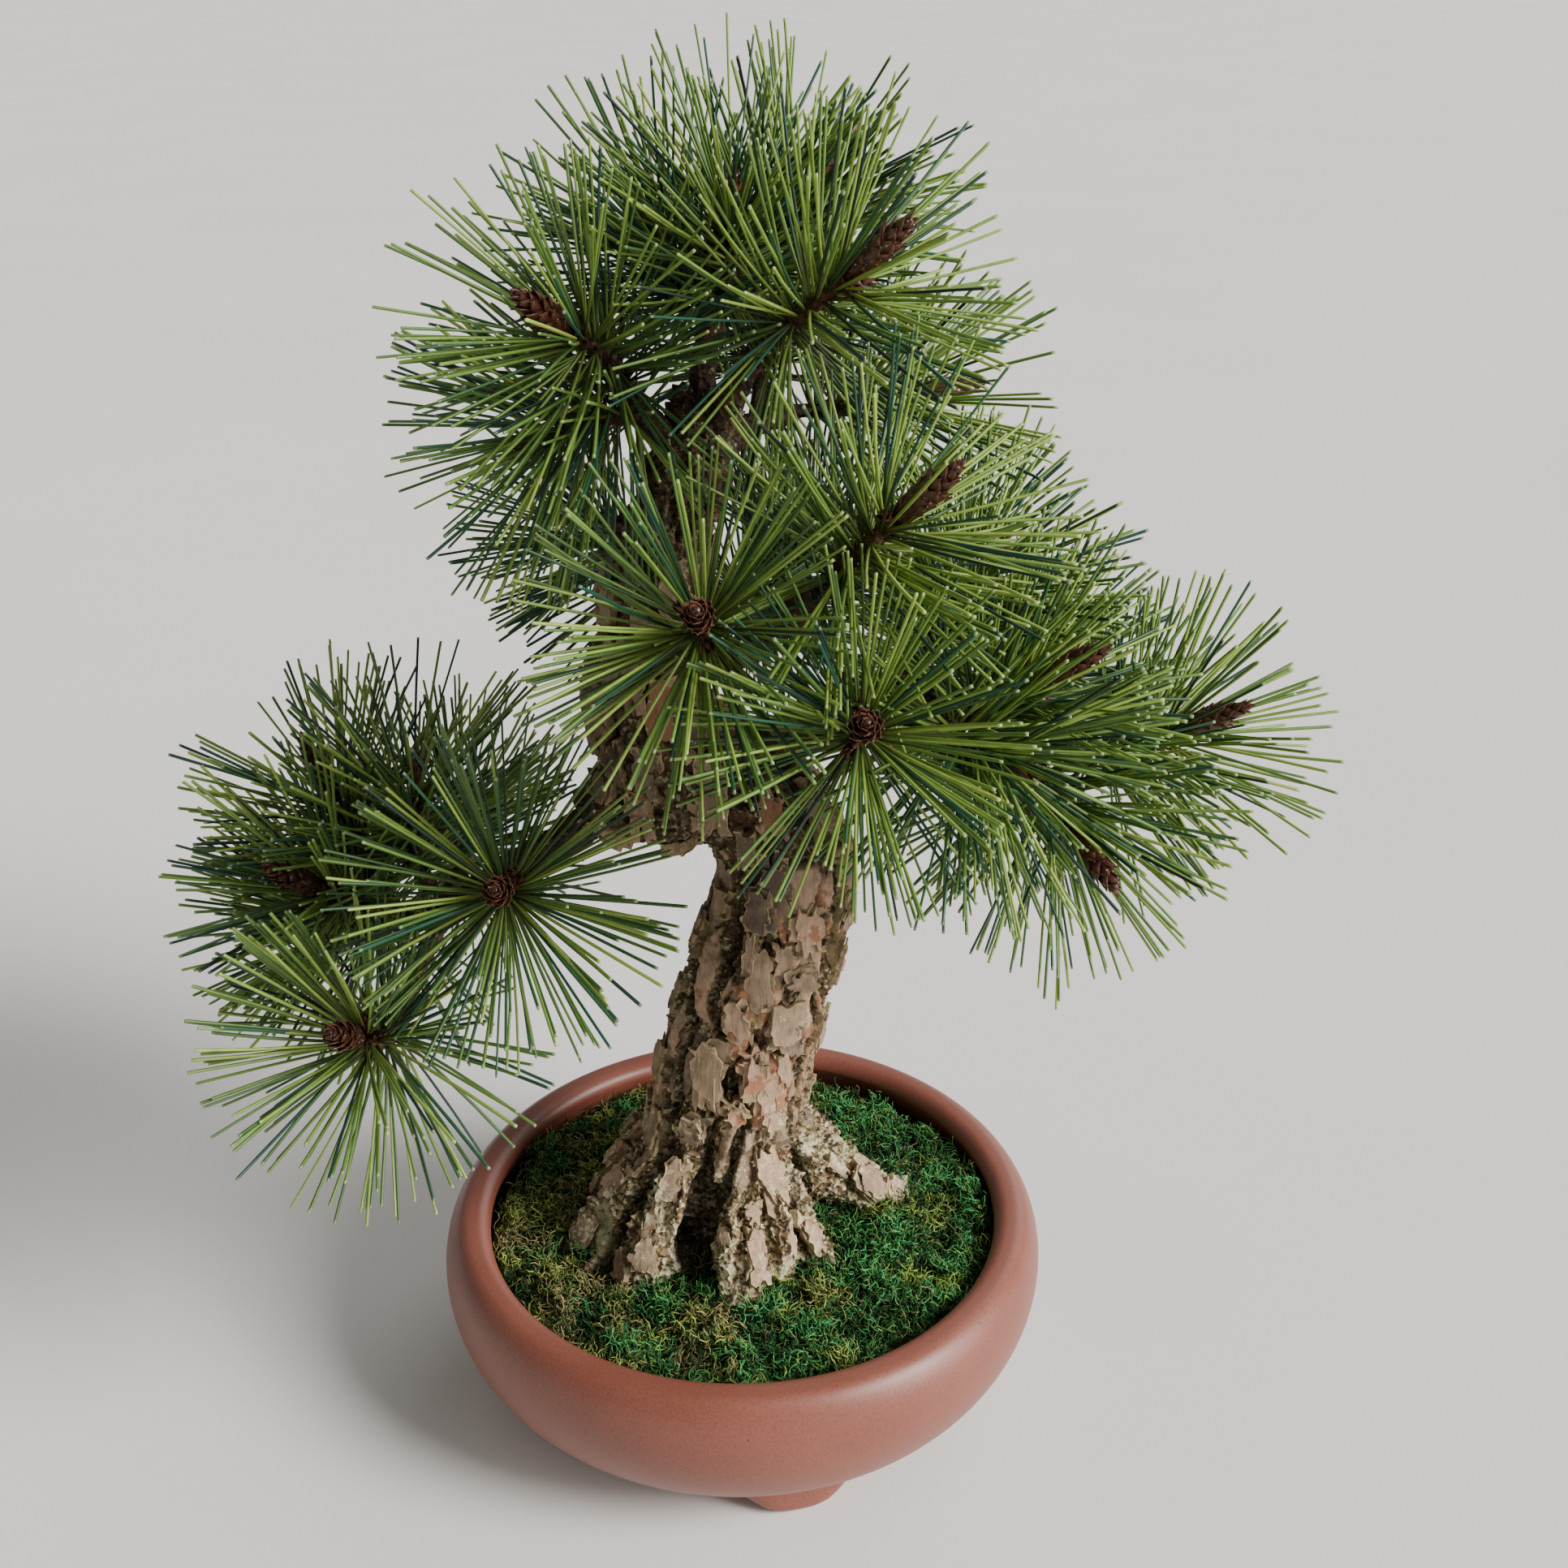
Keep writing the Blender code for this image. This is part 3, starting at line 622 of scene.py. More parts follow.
def clay_material(settings):
    """Unglazed red stoneware, burnished: an even satin skin, fine grain, soft fire marks and iron specks."""
    material, add, shader, place = new_material("Burnished_red_stoneware")
    # Fire marks drift over 40 mm or so.
    clouds = add("TexNoise", {"Vector": place, "Scale": 24.0, "Detail": 4.0})
    base = add("Mix", {0: clouds, 6: settings.clay_dark, 7: settings.clay}, **BLEND)
    # Sand grains of 0.5 mm, drawn at 0.8 mm so that they show.
    grain = add("TexNoise", {"Vector": place, "Scale": 1250.0, "Detail": 2.0})
    toned = varied(add, base, grain, (0.3, 0.8), (0.5, 1.0), (0.75, 1.12))
    # Dark iron specks and pits, 0.6 mm across and far apart.
    color = speckled(add, toned, linear("#4A2118"), place, 230.0, 0.86, (0.07, 0.8), (0.13, 0.0))
    rough = add("ValToRGB", {0: clouds}, stops=((0.3, 0.36), (0.7, 0.48)))
    # Turning marks 1.5 mm apart, nearly polished away.
    marks = add(
        "TexWave", {"Vector": place, "Scale": 105.0, "Distortion": 1.5, "Detail": 2.0}, "Fac",
        bands_direction="Z")
    height = add("Math", {0: marks, 1: 0.25, 2: grain}, operation="MULTIPLY_ADD")
    bump = add("Bump", {"Height": height, "Strength": 0.12, "Distance": 0.15 * MM})
    connect(shader, {"Base Color": color, "Roughness": rough, "Normal": bump})
    return material


def ellipse_arc(center, half_width, half_height, start, end, steps):
    """Points on an ellipse in the X-Z plane, with the angles in degrees from +X."""
    angles = [math.radians(start + (end - start) * step / steps) for step in range(steps + 1)]
    return [(center[0] + half_width * math.cos(a), center[1] + half_height * math.sin(a)) for a in angles]


def foot_sections():
    """One foot at +X: rounded rings from its sole up into the bowl, spreading as they rise."""
    sections = []
    for height, width in FOOT_RINGS:
        rise = smoothstep(5, 12, height)
        inner, outer = 66 * MM, (85.0 + 2.6 * smoothstep(0, 3, height) - 1.6 * rise) * MM
        middle, half_depth, half = (inner + outer) / 2, (outer - inner) / 2, width / 2 * MM
        ring = []
        for across, along in circle(28):
            px = middle + half_depth * math.copysign(abs(across) ** 0.55, across)
            py = half * math.copysign(abs(along) ** 0.7, along)
            lift = 4.5 * MM * rise * (px - inner) / (outer - inner) - 1.0 * MM * rise
            ring.append(Vector((px, py, height * MM + lift)))
        sections.append(ring)
    return sections


def turn_bowl(radius, height):
    """The bowl, turned from the outline of its wall: down its outside, and up its inside to the rim."""
    belly_z, base_radius, base_z = 51.8 * MM, 64 * MM, 8 * MM
    crest, mouth, lip = 100.5 * MM, 92.9 * MM, 5 * MM
    inside_x, inside_z, floor_z = 60 * MM, 49.8 * MM, 16 * MM
    wall = 9.5 * MM
    profile = ellipse_arc((crest, belly_z), radius - crest, height - belly_z, 90, 0, 14)
    profile += ellipse_arc(
        (base_radius, belly_z), radius - base_radius, belly_z - base_z, 0, -90, 20)[1:]
    profile += [(9 * MM, base_z), (8 * MM, base_z + 1 * MM), (8 * MM, 15 * MM), (9 * MM, floor_z)]
    profile += ellipse_arc(
        (inside_x, inside_z), radius - wall - inside_x, inside_z - floor_z, -90, 0, 10)
    profile += ellipse_arc((mouth + lip, height - lip), lip, lip, 180, 90, 8)
    bm = bmesh.new()
    verts = [bm.verts.new((x, 0.0, z)) for x, z in profile]
    edges = [bm.edges.new((verts[i - 1], verts[i])) for i in range(len(verts))]
    bmesh.ops.spin(
        bm, geom=verts + edges, cent=(0, 0, 0), axis=(0, 0, 1), angle=2 * math.pi, steps=144,
        use_merge=True, use_duplicate=False)
    bmesh.ops.remove_doubles(bm, verts=bm.verts, dist=0.01 * MM)
    return closed_mesh(bm)


def shape_foot(degrees):
    """One of the feet as a working object, turned to its place round the bowl."""
    bm = bmesh.new()
    loft(bm, foot_sections())
    bm.transform(Matrix.Rotation(math.radians(degrees), 4, "Z"))
    return link("foot", closed_mesh(bm))


class BONSAI_OT_pot(bpy.types.Operator):
    """Turn the bowl and join its three feet"""
    bl_idname = "bonsai.pot"
    bl_label = "Pot"

    def execute(self, context):
        settings = context.scene.bonsai_pot
        feet = [shape_foot(degrees) for degrees in FOOT_TURNS]
        mesh = evaluated_copy(
            turn_bowl(settings.radius, settings.height),
            [("BOOLEAN", {"operation": "UNION", "solver": "EXACT", "object": foot}) for foot in feet])
        for foot in feet:
            bpy.data.objects.remove(foot)
        piece = finish_piece("clay_pot", mesh, clay_material(settings), ["pot"])
        piece.data.set_sharp_from_angle(angle=math.radians(50))
        return {"FINISHED"}


# ---- Soil ----
def soil_material():
    """Bark and peat mix: damp, dark, dull crumbs of 2 to 3 mm."""
    material, add, shader, place = new_material("Bark_and_peat_mix")
    crumbs = add("TexVoronoi", {"Vector": place, "Scale": 400.0})
    color = add("ValToRGB", {0: crumbs}, stops=(
        (0.0, linear("#4A3A2C")), (0.5, linear("#2A2018")), (0.9, linear("#120D0A"))))
    bump = add("Bump", {"Height": crumbs, "Strength": 0.8, "Distance": 1 * MM})
    connect(shader, {"Base Color": color, "Roughness": 0.95, "Normal": bump})
    return material


class BONSAI_OT_soil(bpy.types.Operator):
    """Give the soil its crumbly dark finish"""
    bl_idname = "bonsai.soil"
    bl_label = "Soil"

    def execute(self, context):
        node = frame["nodes"]["soil"]
        node.data.materials.clear()
        node.data.materials.append(soil_material())
        return {"FINISHED"}


# ---- Trunk and branches ----
def bark_material(settings, name, plate_colors, crumb_colors, lichen_top):
    """Pine bark: dry smooth plates, granular cork between them, painted shade in the furrows and on the
    plates high up, and pale lichen low down.
    """
    material, add, shader, place = new_material(name)
    raised, plate, painted_shade, worn = (
        add("Attribute", {}, "Fac", attribute_name=layer) for layer in ("raised", "plate", "painted_shade", "worn"))
    height = add("SeparateXYZ", {0: place}, "Z")
    # Plate colour drifts over 12 mm and differs from plate to plate.
    patches = add("TexNoise", {"Vector": place, "Scale": 80.0, "Detail": 6.0, "Roughness": 0.65})
    pick = add("Math", {0: plate, 1: 0.6, 2: patches}, operation="MULTIPLY_ADD")
    plates = add("ValToRGB", {0: pick}, stops=tuple(zip((0.45, 0.72, 0.96, 1.16), plate_colors)))
    # Upright streaks 1 mm wide in the plates.
    drawn_out = add("Mapping", {"Vector": place, "Scale": (1.0, 1.0, 0.22)})
    grain = add("TexNoise", {"Vector": drawn_out, "Scale": 620.0, "Detail": 5.0, "Roughness": 0.7})
    streaked = varied(add, plates, grain, (0.32, 0.62), (0.45, 0.95), (0.68, 1.15))
    # Painted shade: plates are darker high up, where the branches would shade them.
    painted_branch_shade = add("MapRange", {0: height, 1: 0.17, 2: 0.23, 3: 1.0, 4: 0.68})
    with_painted_shade = add("Mix", {0: 1.0, 6: streaked, 7: painted_branch_shade}, **MULTIPLY)
    # Cork crumbs 1.3 mm across, each its own shade, paler near the ground and more even high up.
    crumbs = add("TexVoronoi", {"Vector": place, "Scale": 760.0})
    shade = add("SeparateColor", {0: crumbs.node.outputs["Color"]}, "Red")
    cork = add("ValToRGB", {0: shade}, stops=tuple(zip((0.0, 0.4, 0.75, 0.97), crumb_colors)))
    calm = add("MapRange", {0: height, 1: 0.15, 2: 0.22, 3: 0.0, 4: 0.4})
    even_cork = add("Mix", {0: calm, 6: cork, 7: crumb_colors[1]}, **BLEND)
    paleness = add("MapRange", {0: height, 1: 0.09, 2: 0.21, 3: 1.12, 4: 0.6})
    cork_tone = add("Mix", {0: 1.0, 6: even_cork, 7: paleness}, **MULTIPLY)
    # Red-brown inner bark stains the cork in patches of 15 mm.
    stain = add("TexNoise", {"Vector": place, "Scale": 65.0, "Detail": 5.0, "Roughness": 0.7})
    stained = covered(add, cork_tone, linear("#5C3D2A"), stain, (0.5, 0.0), (0.6, 0.6))
    bark = add("Mix", {0: raised, 6: stained, 7: with_painted_shade}, **BLEND)
    # Broken edges show pale inner cork in places.
    fine = add("TexNoise", {"Vector": place, "Scale": 520.0, "Detail": 5.0, "Roughness": 0.7})
    broken = add("Math", {0: worn, 1: fine}, operation="MULTIPLY")
    edged = covered(add, bark, linear("#A8946C"), broken, (0.34, 0.0), (0.56, 0.85))
    # Lichen crusts the lowest part in patches of 10 mm made of 1 mm grains.
    low = add("MapRange", {0: height, 1: 0.06, 2: lichen_top, 3: 0.2, 4: 0.0})
    spread = add("TexNoise", {"Vector": place, "Scale": 60.0, "Detail": 3.0})
    grains = add("Math", {0: fine, 1: 0.8, 2: low}, operation="MULTIPLY_ADD")
    where = add("Math", {0: spread, 1: 0.6, 2: grains}, operation="MULTIPLY_ADD")
    crusted = covered(add, edged, settings.lichen, where, (0.86, 0.0), (0.95, 0.8))
    # Painted shade: the furrows are mixed towards the crevice colour by their depth.
    color = add("Mix", {0: painted_shade, 6: crusted, 7: settings.crevice}, **BLEND)
    relief = add("Mix", {0: raised, 2: crumbs, 3: grain})
    bump = add("Bump", {"Height": relief, "Strength": 0.8, "Distance": 0.7 * MM})
    connect(shader, {"Base Color": color, "Roughness": 0.85, "Specular IOR Level": 0.25, "Normal": bump})
    return material


def shoot_frame(name):
    """Middle and direction of a shoot's tuft."""
    place, direction = SHOOTS[name][2:4]
    return Vector(place) * MM, Vector(direction).normalized()


def twig_route(name, route, radius):
    """A curved twig from its branch, through its tuft to the foot of its bud."""
    fork = SHOOTS[name][1]
    heart, direction = shoot_frame(name)
    end = heart - direction * CORE_HALF
    onward = (Vector(route[fork]) - Vector(route[fork - 1])).normalized()
    start = Vector(route[fork]) * MM - onward * TWIG_RADIUS
    reach = (end - start).length
    leave = start + onward * 0.25 * reach
    arrive = end - direction * 0.4 * reach
    result = []
    for t in (step / TWIG_STEPS for step in range(TWIG_STEPS + 1)):
        u = 1 - t
        point = start * u ** 3 + leave * 3 * t * u ** 2 + arrive * 3 * t * t * u + end * t ** 3
        result.append((point / MM, radius + (TWIG_RADIUS / MM - radius) * t))
    result.append(((heart + direction * CORE_HALF * 1.6) / MM, TWIG_RADIUS / MM))
    return result


def twig_point(points, back):
    """Place and direction on a route at a distance back from its end."""
    for i in range(len(points) - 1, 0, -1):
        step = (points[i] - points[i - 1]).length
        if back <= step or i == 1:
            return points[i].lerp(points[i - 1], back / step), (points[i] - points[i - 1]).normalized()
        back -= step


def flake_template():
    """A thin flat plate from -1 to 1 in X and Y, its top at Z = 1."""
    bm = bmesh.new()
    bmesh.ops.create_grid(bm, x_segments=6, y_segments=10, size=1.0)
    bmesh.ops.solidify(bm, geom=bm.faces, thickness=1.0)
    low = min(vert.co.z for vert in bm.verts)
    bmesh.ops.translate(bm, verts=bm.verts, vec=(0, 0, -low))
    return closed_mesh(bm)


def lay_flake(bm, template, tree, center, normal, size, low, thick, tone, rng):
    """One ragged plate from low to low + thick millimetres over the skin."""
    spot = center / MM
    x, y, _ = trunk_at(spot.z)
    out = Vector((spot.x - x, spot.y - y, 0)).normalized()
    down = out * 0.9 * (1 - smoothstep(80, 115, spot.z)) - Vector((0, 0, 1))
    down = (down - normal * down.dot(normal)).normalized()
    side = normal.cross(down)
    half_width, half_height = size[0] * MM, size[1] * MM
    seed = Vector((rng.uniform(0, 99), rng.uniform(0, 99), 0))
    slant = rng.uniform(-0.18, 0.18)
    narrow = rng.uniform(-0.22, 0.22)
    lifts = [rng.uniform(-0.5, 0.9) for _ in range(4)]

    def settle(co):
        """Chip the plate's rim and bend it over the skin below it."""
        u, v = co.x, co.y
        rim = max(abs(u), abs(v)) ** 3
        chips = noise.cell(Vector((math.copysign(3, u) * (abs(u) > 0.8), v * 2.6, 0)) + seed) - 0.5
        chops = noise.cell(Vector((u * 1.8, math.copysign(3, v) * (abs(v) > 0.8), 5)) + seed) - 0.5
        wave = noise.noise(Vector((u * 1.3, v * 1.3, 2)) + seed)
        wide = (1 + rim * (0.34 * chips + 0.1 * wave)) * (1 + narrow * v)
        tall = 1 + rim * (0.3 * chops + 0.1 * wave)
        flat = center + side * (u * wide + slant * v) * half_width + down * v * tall * half_height
        hit, face_normal, _, _ = tree.find_nearest(flat)
        over = low + thick * co.z + lifts[(u > 0) + 2 * (v > 0)] * rim * co.z
        over += 0.25 * noise.noise(Vector((u * 3, v * 4, 7)) + seed) * co.z
        return hit.lerp(flat, 0.4) + (face_normal + normal).normalized() * over * MM

    stamp(bm, template, settle, raised=lambda co: 1.0 if co.z > 0.5 else 0.3, plate=tone,
          worn=lambda co: float(max(abs(co.x), abs(co.y)) > 0.99))


def lay_stack(bm, template, tree, center, normal, size, tone, layers, rng):
    """Plates on top of each other, each a little smaller, as bark scales off in layers."""
    low = -2.5
    for layer in range(layers):
        shrink = 1 - 0.13 * layer
        nudge = Vector((rng.uniform(-0.7, 0.7), rng.uniform(-0.7, 0.7), rng.uniform(-1.2, 1.2))) * MM
        thick = rng.uniform(3.6, 4.4) if layer == 0 else rng.uniform(0.9, 1.3)
        shade = tone if layer == layers - 1 else tone + rng.uniform(-0.3, 0.1)
        lay_flake(bm, template, tree, center + nudge, normal, (size[0] * shrink, size[1] * shrink), low,
                  thick, clamp(shade), rng)
        low += thick - 0.1


def lay_flakes(name, skins, tree, material, plates, wanted, widths, tones):
    """Lay the chosen plates, then smaller ones all round wherever there is room."""
    rng = random.Random(7)
    template = flake_template()
    vertices = [vertex for skin in skins for vertex in skin.vertices]
    bm = bmesh_with("raised", "plate", "worn")
    taken = []
    for height, degrees, *size, tone in plates:
        x, y, _ = trunk_at(height)
        out = turned(Vector((1, 0, 0)), Vector((0, 1, 0)), math.radians(degrees))
        center, normal, _, _ = tree.ray_cast(Vector((x, y, height)) * MM + out * OUTSIDE, -out)
        taken.append((around_and_along(center / MM), *size))
        lay_stack(bm, template, tree, center, normal, size, tone, 3, rng)
    for _ in range(wanted * TRIES):
        if len(taken) >= wanted:
            break
        vertex = rng.choice(vertices)
        spot = vertex.co / MM
        if not FLAKED[0] < spot.z < FLAKED[1] or rng.random() < 0.5 - spot.z / 200 or furrow_at(spot) > 0:
            continue
        place = around_and_along(spot)
        half_width = rng.uniform(*widths) * (1 if spot.z > 100 else 0.8)
        half_height = half_width * rng.uniform(1.7, 2.9)
        if not clear_of_furrows(spot, half_width):
            continue
        if any(math.hypot(place.x - other.x, place.y - other.y) / (half_width + wide)
               + abs(place.z - other.z) / (half_height + tall) < 1 for other, wide, tall in taken):
            continue
        taken.append((place, half_width, half_height))
        tone = clamp(rng.gauss(*tones))
        lay_stack(bm, template, tree, vertex.co.copy(), vertex.normal.copy(), (half_width, half_height),
                  tone, rng.choice((1, 2, 2)), rng)
    bpy.data.meshes.remove(template)
    piece = finish_piece(name, to_mesh(bm), material, ["trunk"])
    piece.data.set_sharp_from_angle(angle=math.radians(35))


def wood_skin(voxel, bottom, top):
    """The wood between two heights, its ends left open."""
    bm = bmesh.new()
    add_limb(bm, TRUNK, 24, 6 * MM)
    for route in (SHOULDER, *ROOTS, *WEBS):
        add_limb(bm, route, 16, 5 * MM)
    mesh = union_by_voxels(bm, voxel, 6)
    bm = bmesh.new()
    bm.from_mesh(mesh)
    bpy.data.meshes.remove(mesh)
    cut(bm, (0, 0, bottom * MM), (0, 0, -1), True)
    cut(bm, (0, 0, top * MM), (0, 0, 1), True)
    return to_mesh(bm)


def close_ends(mesh):
    """Close the two cut ends of a skin."""
    bm = bmesh.new()
    bm.from_mesh(mesh)
    bmesh.ops.holes_fill(bm, edges=[edge for edge in bm.edges if edge.is_boundary])
    bmesh.ops.recalc_face_normals(bm, faces=bm.faces)
    bm.to_mesh(mesh)
    bm.free()


class BONSAI_OT_trunk(bpy.types.Operator):
    """Grow the trunk and its roots, and plate them with bark"""
    bl_idname = "bonsai.trunk"
    bl_label = "Trunk"

    def execute(self, context):
        settings = context.scene.bonsai_bark
        material = bark_material(
            settings, "Flaky_pine_bark",
            (settings.plate_grey, settings.plate_tan, settings.plate_warm, settings.plate_orange),
            (settings.crevice, linear("#54452F"), linear("#85704E"), settings.lichen), 0.16)
        skins = {name: wood_skin(settings.voxel * coarse, bottom, top)
                 for name, (bottom, top, coarse) in BARKED_PIECES.items()}
        tree = search_tree(skins.values())
        *lower, crown = skins.values()
        lay_flakes("bark_flakes", lower, tree, material, PLATES, settings.flakes, (2.8, 5.6), (0.42, 0.22))
        lay_flakes("crown_bark_flakes", [crown], tree, material, (), settings.flakes // 2, (2.5, 6.0),
                   (0.3, 0.3))
        for name, mesh in skins.items():
            displace_bark(mesh, bark_relief)
            close_ends(mesh)
            finish_piece(name, mesh, material, ["trunk"])
        return {"FINISHED"}


class BONSAI_OT_branches(bpy.types.Operator):
    """Grow each branch with the twigs that it carries"""
    bl_idname = "bonsai.branches"
    bl_label = "Branches"

    def execute(self, context):
        material = bark_material(
            context.scene.bonsai_bark, "Scaly_twig_bark", (linear("#3A2A20"),) * 4,
            [linear(shade) for shade in ("#1F1712", "#3A2A20", "#5A4330", "#7A6448")], 0.07)
        for name, (route, start_radius, end_radius) in BRANCHES.items():
            last = len(route) - 1
            radii = [start_radius + (end_radius - start_radius) * i / last for i in range(last + 1)]
            bm = bmesh.new()
            add_limb(bm, list(zip(route, radii)), 12, 4 * MM)
            for shoot, (branch, fork, *_) in SHOOTS.items():
                if branch == name:
                    add_limb(bm, twig_route(shoot, route, radii[fork] * 0.8), 10, 4 * MM)
            mesh = union_by_voxels(bm, 0.75 * MM, 2)
            displace_bark(mesh, lambda point: (cork_relief(point) * 0.6, 0.0, 0.5, 0.0))
            finish_piece("wood_" + name, mesh, material, ["branch_" + name])
        return {"FINISHED"}


# ---- Moss ----
CLUMP = 11.0                   # mm across a clump of moss
MAT_RADIUS = 92                # mm
BATCH = 400                    # strands gathered at a time, as a small mesh is quick to add to
MOSS_PIECES = 4


def moss_clump(x, y):
    """How near a place is to the middle of its clump, from 0 to 1, and the clump's own numbers."""
    bent = noise.noise_vector(Vector((x * 0.15, y * 0.15, 2.0))) * 2.5
    distances, centers = noise.voronoi(Vector(((x + bent.x) / CLUMP, (y + bent.y) / CLUMP, 0.5)))
    return 1 - min(distances[0] * 1.25, 1.0), noise.cell_vector(centers[0] * 17.3)


def moss_height(x, y):
    """Top of the moss mat in millimetres at a place in millimetres."""
    dome = 61.7 - 3.0 * smoothstep(50, 93, math.hypot(x, y))
    lumps = noise.fractal(Vector((x * 0.05, y * 0.05, 4.2)), 1.0, 2.0, 2) * 2.6
    middle, numbers = moss_clump(x, y)
    return dome + lumps + middle * (3.0 + 5.5 * numbers.x)


def moss_material(settings, name, painted_shade_dim):
    """Dyed sheet moss: short curly strands, emerald where fresh, olive and straw where it has aged, and
    darker towards each strand's foot and between the clumps as painted shade.
    """
    material, add, shader, place = new_material(name)
    tone, along = (add("Attribute", {}, "Fac", attribute_name=layer) for layer in ("tone", "along"))
    ramp = add("ValToRGB", {0: tone}, stops=(
        (0.0, settings.painted_shade), (0.22, settings.middle), (0.4, settings.bright), (0.56, linear("#93A945")),
        (0.76, settings.olive), (1.0, linear("#9C8760"))))
    # Painted shade: darker towards the foot of each strand and between the clumps, and darker overall by the
    # material's dimming.
    depth = add("MapRange", {0: along, 2: 0.9, 3: 0.22 * painted_shade_dim, 4: 1.25 * painted_shade_dim})
    # Leaflets 1.5 mm long show as light and dark flecks.
    fleck = add("TexNoise", {"Vector": place, "Scale": 650.0, "Detail": 3.0})
    with_painted_shade = add("Mix", {0: 1.0, 6: ramp, 7: depth}, **MULTIPLY)
    color = varied(add, with_painted_shade, fleck, (0.35, 0.6), (0.65, 1.25))
    bump = add("Bump", {"Height": fleck, "Strength": 0.8, "Distance": 1.0 * MM})
    connect(shader, {"Base Color": color, "Roughness": 0.75, "Specular IOR Level": 0.3, "Normal": bump})
    return material


def moss_tone(x, y, rng):
    """Place on the moss colour scale: fresh clumps right and in front, olive ones left and behind."""
    middle, numbers = moss_clump(x, y)
    if numbers.y < smoothstep(-50, 45, x - 0.3 * y) * 0.85:
        tone = 0.40 if numbers.z < 0.5 else (0.24 if numbers.z < 0.85 else 0.55)
    else:
        tone = 0.68 if numbers.z < 0.5 else (0.3 if numbers.z < 0.8 else 0.86)
    chance = rng.random()
    # Painted shade: the darkest tones fall more often between the clumps.
    if chance < 0.07 + 0.28 * (1 - middle):
        return rng.uniform(0.0, 0.2)
    if chance > 0.95:
        return rng.uniform(0.75, 1.0)
    return clamp(rng.gauss(tone, 0.06))


def lay_mat(material):
    """The mat under the strands: a disc that follows the clumps, with a wall down to the soil."""
    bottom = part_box("moss")[0].z
    sections = [[Vector((MAT_RADIUS * MM * x, MAT_RADIUS * MM * y, bottom)) for x, y in circle(160)]]
    for radius in (MAT_RADIUS + 0.3, *range(90, 1, -2)):
        spots = [(radius * x, radius * y) for x, y in circle(160)]
        sections.append([Vector((x, y, moss_height(x, y) - 1.5)) * MM for x, y in spots])
    bm = bmesh_with("tone", "along")
    loft(bm, sections)
    bmesh.ops.recalc_face_normals(bm, faces=bm.faces)
    rng = random.Random(11)
    for vert in bm.verts:
        vert[bm.verts.layers.float["tone"]] = moss_tone(vert.co.x / MM, vert.co.y / MM, rng) * 0.6
        # Painted shade: the mat is held low on the along scale, so it is darker, as it lies under the
        # strands.
        vert[bm.verts.layers.float["along"]] = 0.4
    finish_piece("moss_mat", to_mesh(bm), material, ["moss"])


def grow_strands(name, material, seed, count, thickness, wood):
    """One piece of strands, which grow all over the mat but not inside the wood."""
    rng = random.Random(seed)
    template = strand_template(3, (0.0, 0.2, 0.4, 0.6, 0.8, 1.0), lambda z: 1.0 - 0.55 * z * z)
    bm, batch = bmesh_with("tone", "along"), bmesh_with("tone", "along")
    for index in range(count):
        if index % BATCH == 0:
            batch = gather(bm, batch)
        radius = MAT_RADIUS * math.sqrt(rng.random())
        angle = rng.uniform(0, 2 * math.pi)
        x, y = radius * math.cos(angle), radius * math.sin(angle)
        foot = Vector((x, y, moss_height(x, y) - 1.3)) * MM
        nearest, normal, _, _ = wood.find_nearest(foot)
        if (foot - nearest).dot(normal) < 0.5 * MM:
            continue
        # Painted shade: strands between the clumps are darker.
        shade = 0.38 + 0.8 * smoothstep(0.1, 0.65, moss_clump(x, y)[0])
        grow_strand(batch, template, foot, rng, thickness, moss_tone(x, y, rng), shade)
    gather(bm, batch)
    finish_piece(name, to_mesh(bm), material, ["moss"])


def gather(bm, batch):
    """Move a batch of strands into its piece and start the next batch."""
    mesh = to_mesh(batch)
    bm.from_mesh(mesh)
    bpy.data.meshes.remove(mesh)
    return bmesh_with("tone", "along")


def grow_strand(bm, template, foot, rng, thickness, tone, shade):
    """One curly strand that leans and droops from its foot, and stays inside the pot."""
    heading = rng.uniform(0, 2 * math.pi)
    lean = math.radians(rng.triangular(5, 85, 55))
    out = turned(Vector((1, 0, 0)), Vector((0, 1, 0)), heading)
    if foot.x ** 2 + foot.y ** 2 > (84 * MM) ** 2 and out.dot(foot) > 0:
        out = -out
    direction = turned(Vector((0, 0, 1)), out, lean)
    length = rng.uniform(4.0, 9.5) * MM
    side, other = square_to(direction)
    droop = Vector((0, 0, -0.3 * length * math.sin(lean)))
    coil = rng.uniform(0.5, 1.3) * MM
    turns = rng.uniform(3.5, 8.0) * rng.choice((-1, 1))
    phase = rng.uniform(0, 2 * math.pi)
    radius = thickness / 2 * rng.uniform(0.7, 1.3)

    def place(co):
        s = co.z
        curl = turned(side, other, turns * s + phase) * coil * min(1.0, 3 * s)
        across = (side * co.x + other * co.y) * radius
        return foot + direction * length * s + droop * s * s + curl + across

    # Along carries painted shade: the height up the strand times the strand's shade.
    stamp(bm, template, place, tone=tone, along=lambda co: co.z * shade)


class BONSAI_OT_moss(bpy.types.Operator):
    """Lay the moss mat and grow its strands"""
    bl_idname = "bonsai.moss"
    bl_label = "Moss"

    def execute(self, context):
        settings = context.scene.bonsai_moss
        wood = search_tree([bpy.data.objects[name].data for name in BARKED_PIECES])
        # The mat's copy of the moss material is dimmed to 0.55: painted shade under the strands.
        lay_mat(moss_material(settings, "Sheet_moss_mat_in_painted_shade", 0.55))
        material = moss_material(settings, "Sheet_moss", 1.0)
        for index in range(MOSS_PIECES):
            grow_strands(f"moss_strands_{index + 1}", material, 21 + index, settings.strands // MOSS_PIECES,
                         settings.thickness, wood)
        return {"FINISHED"}


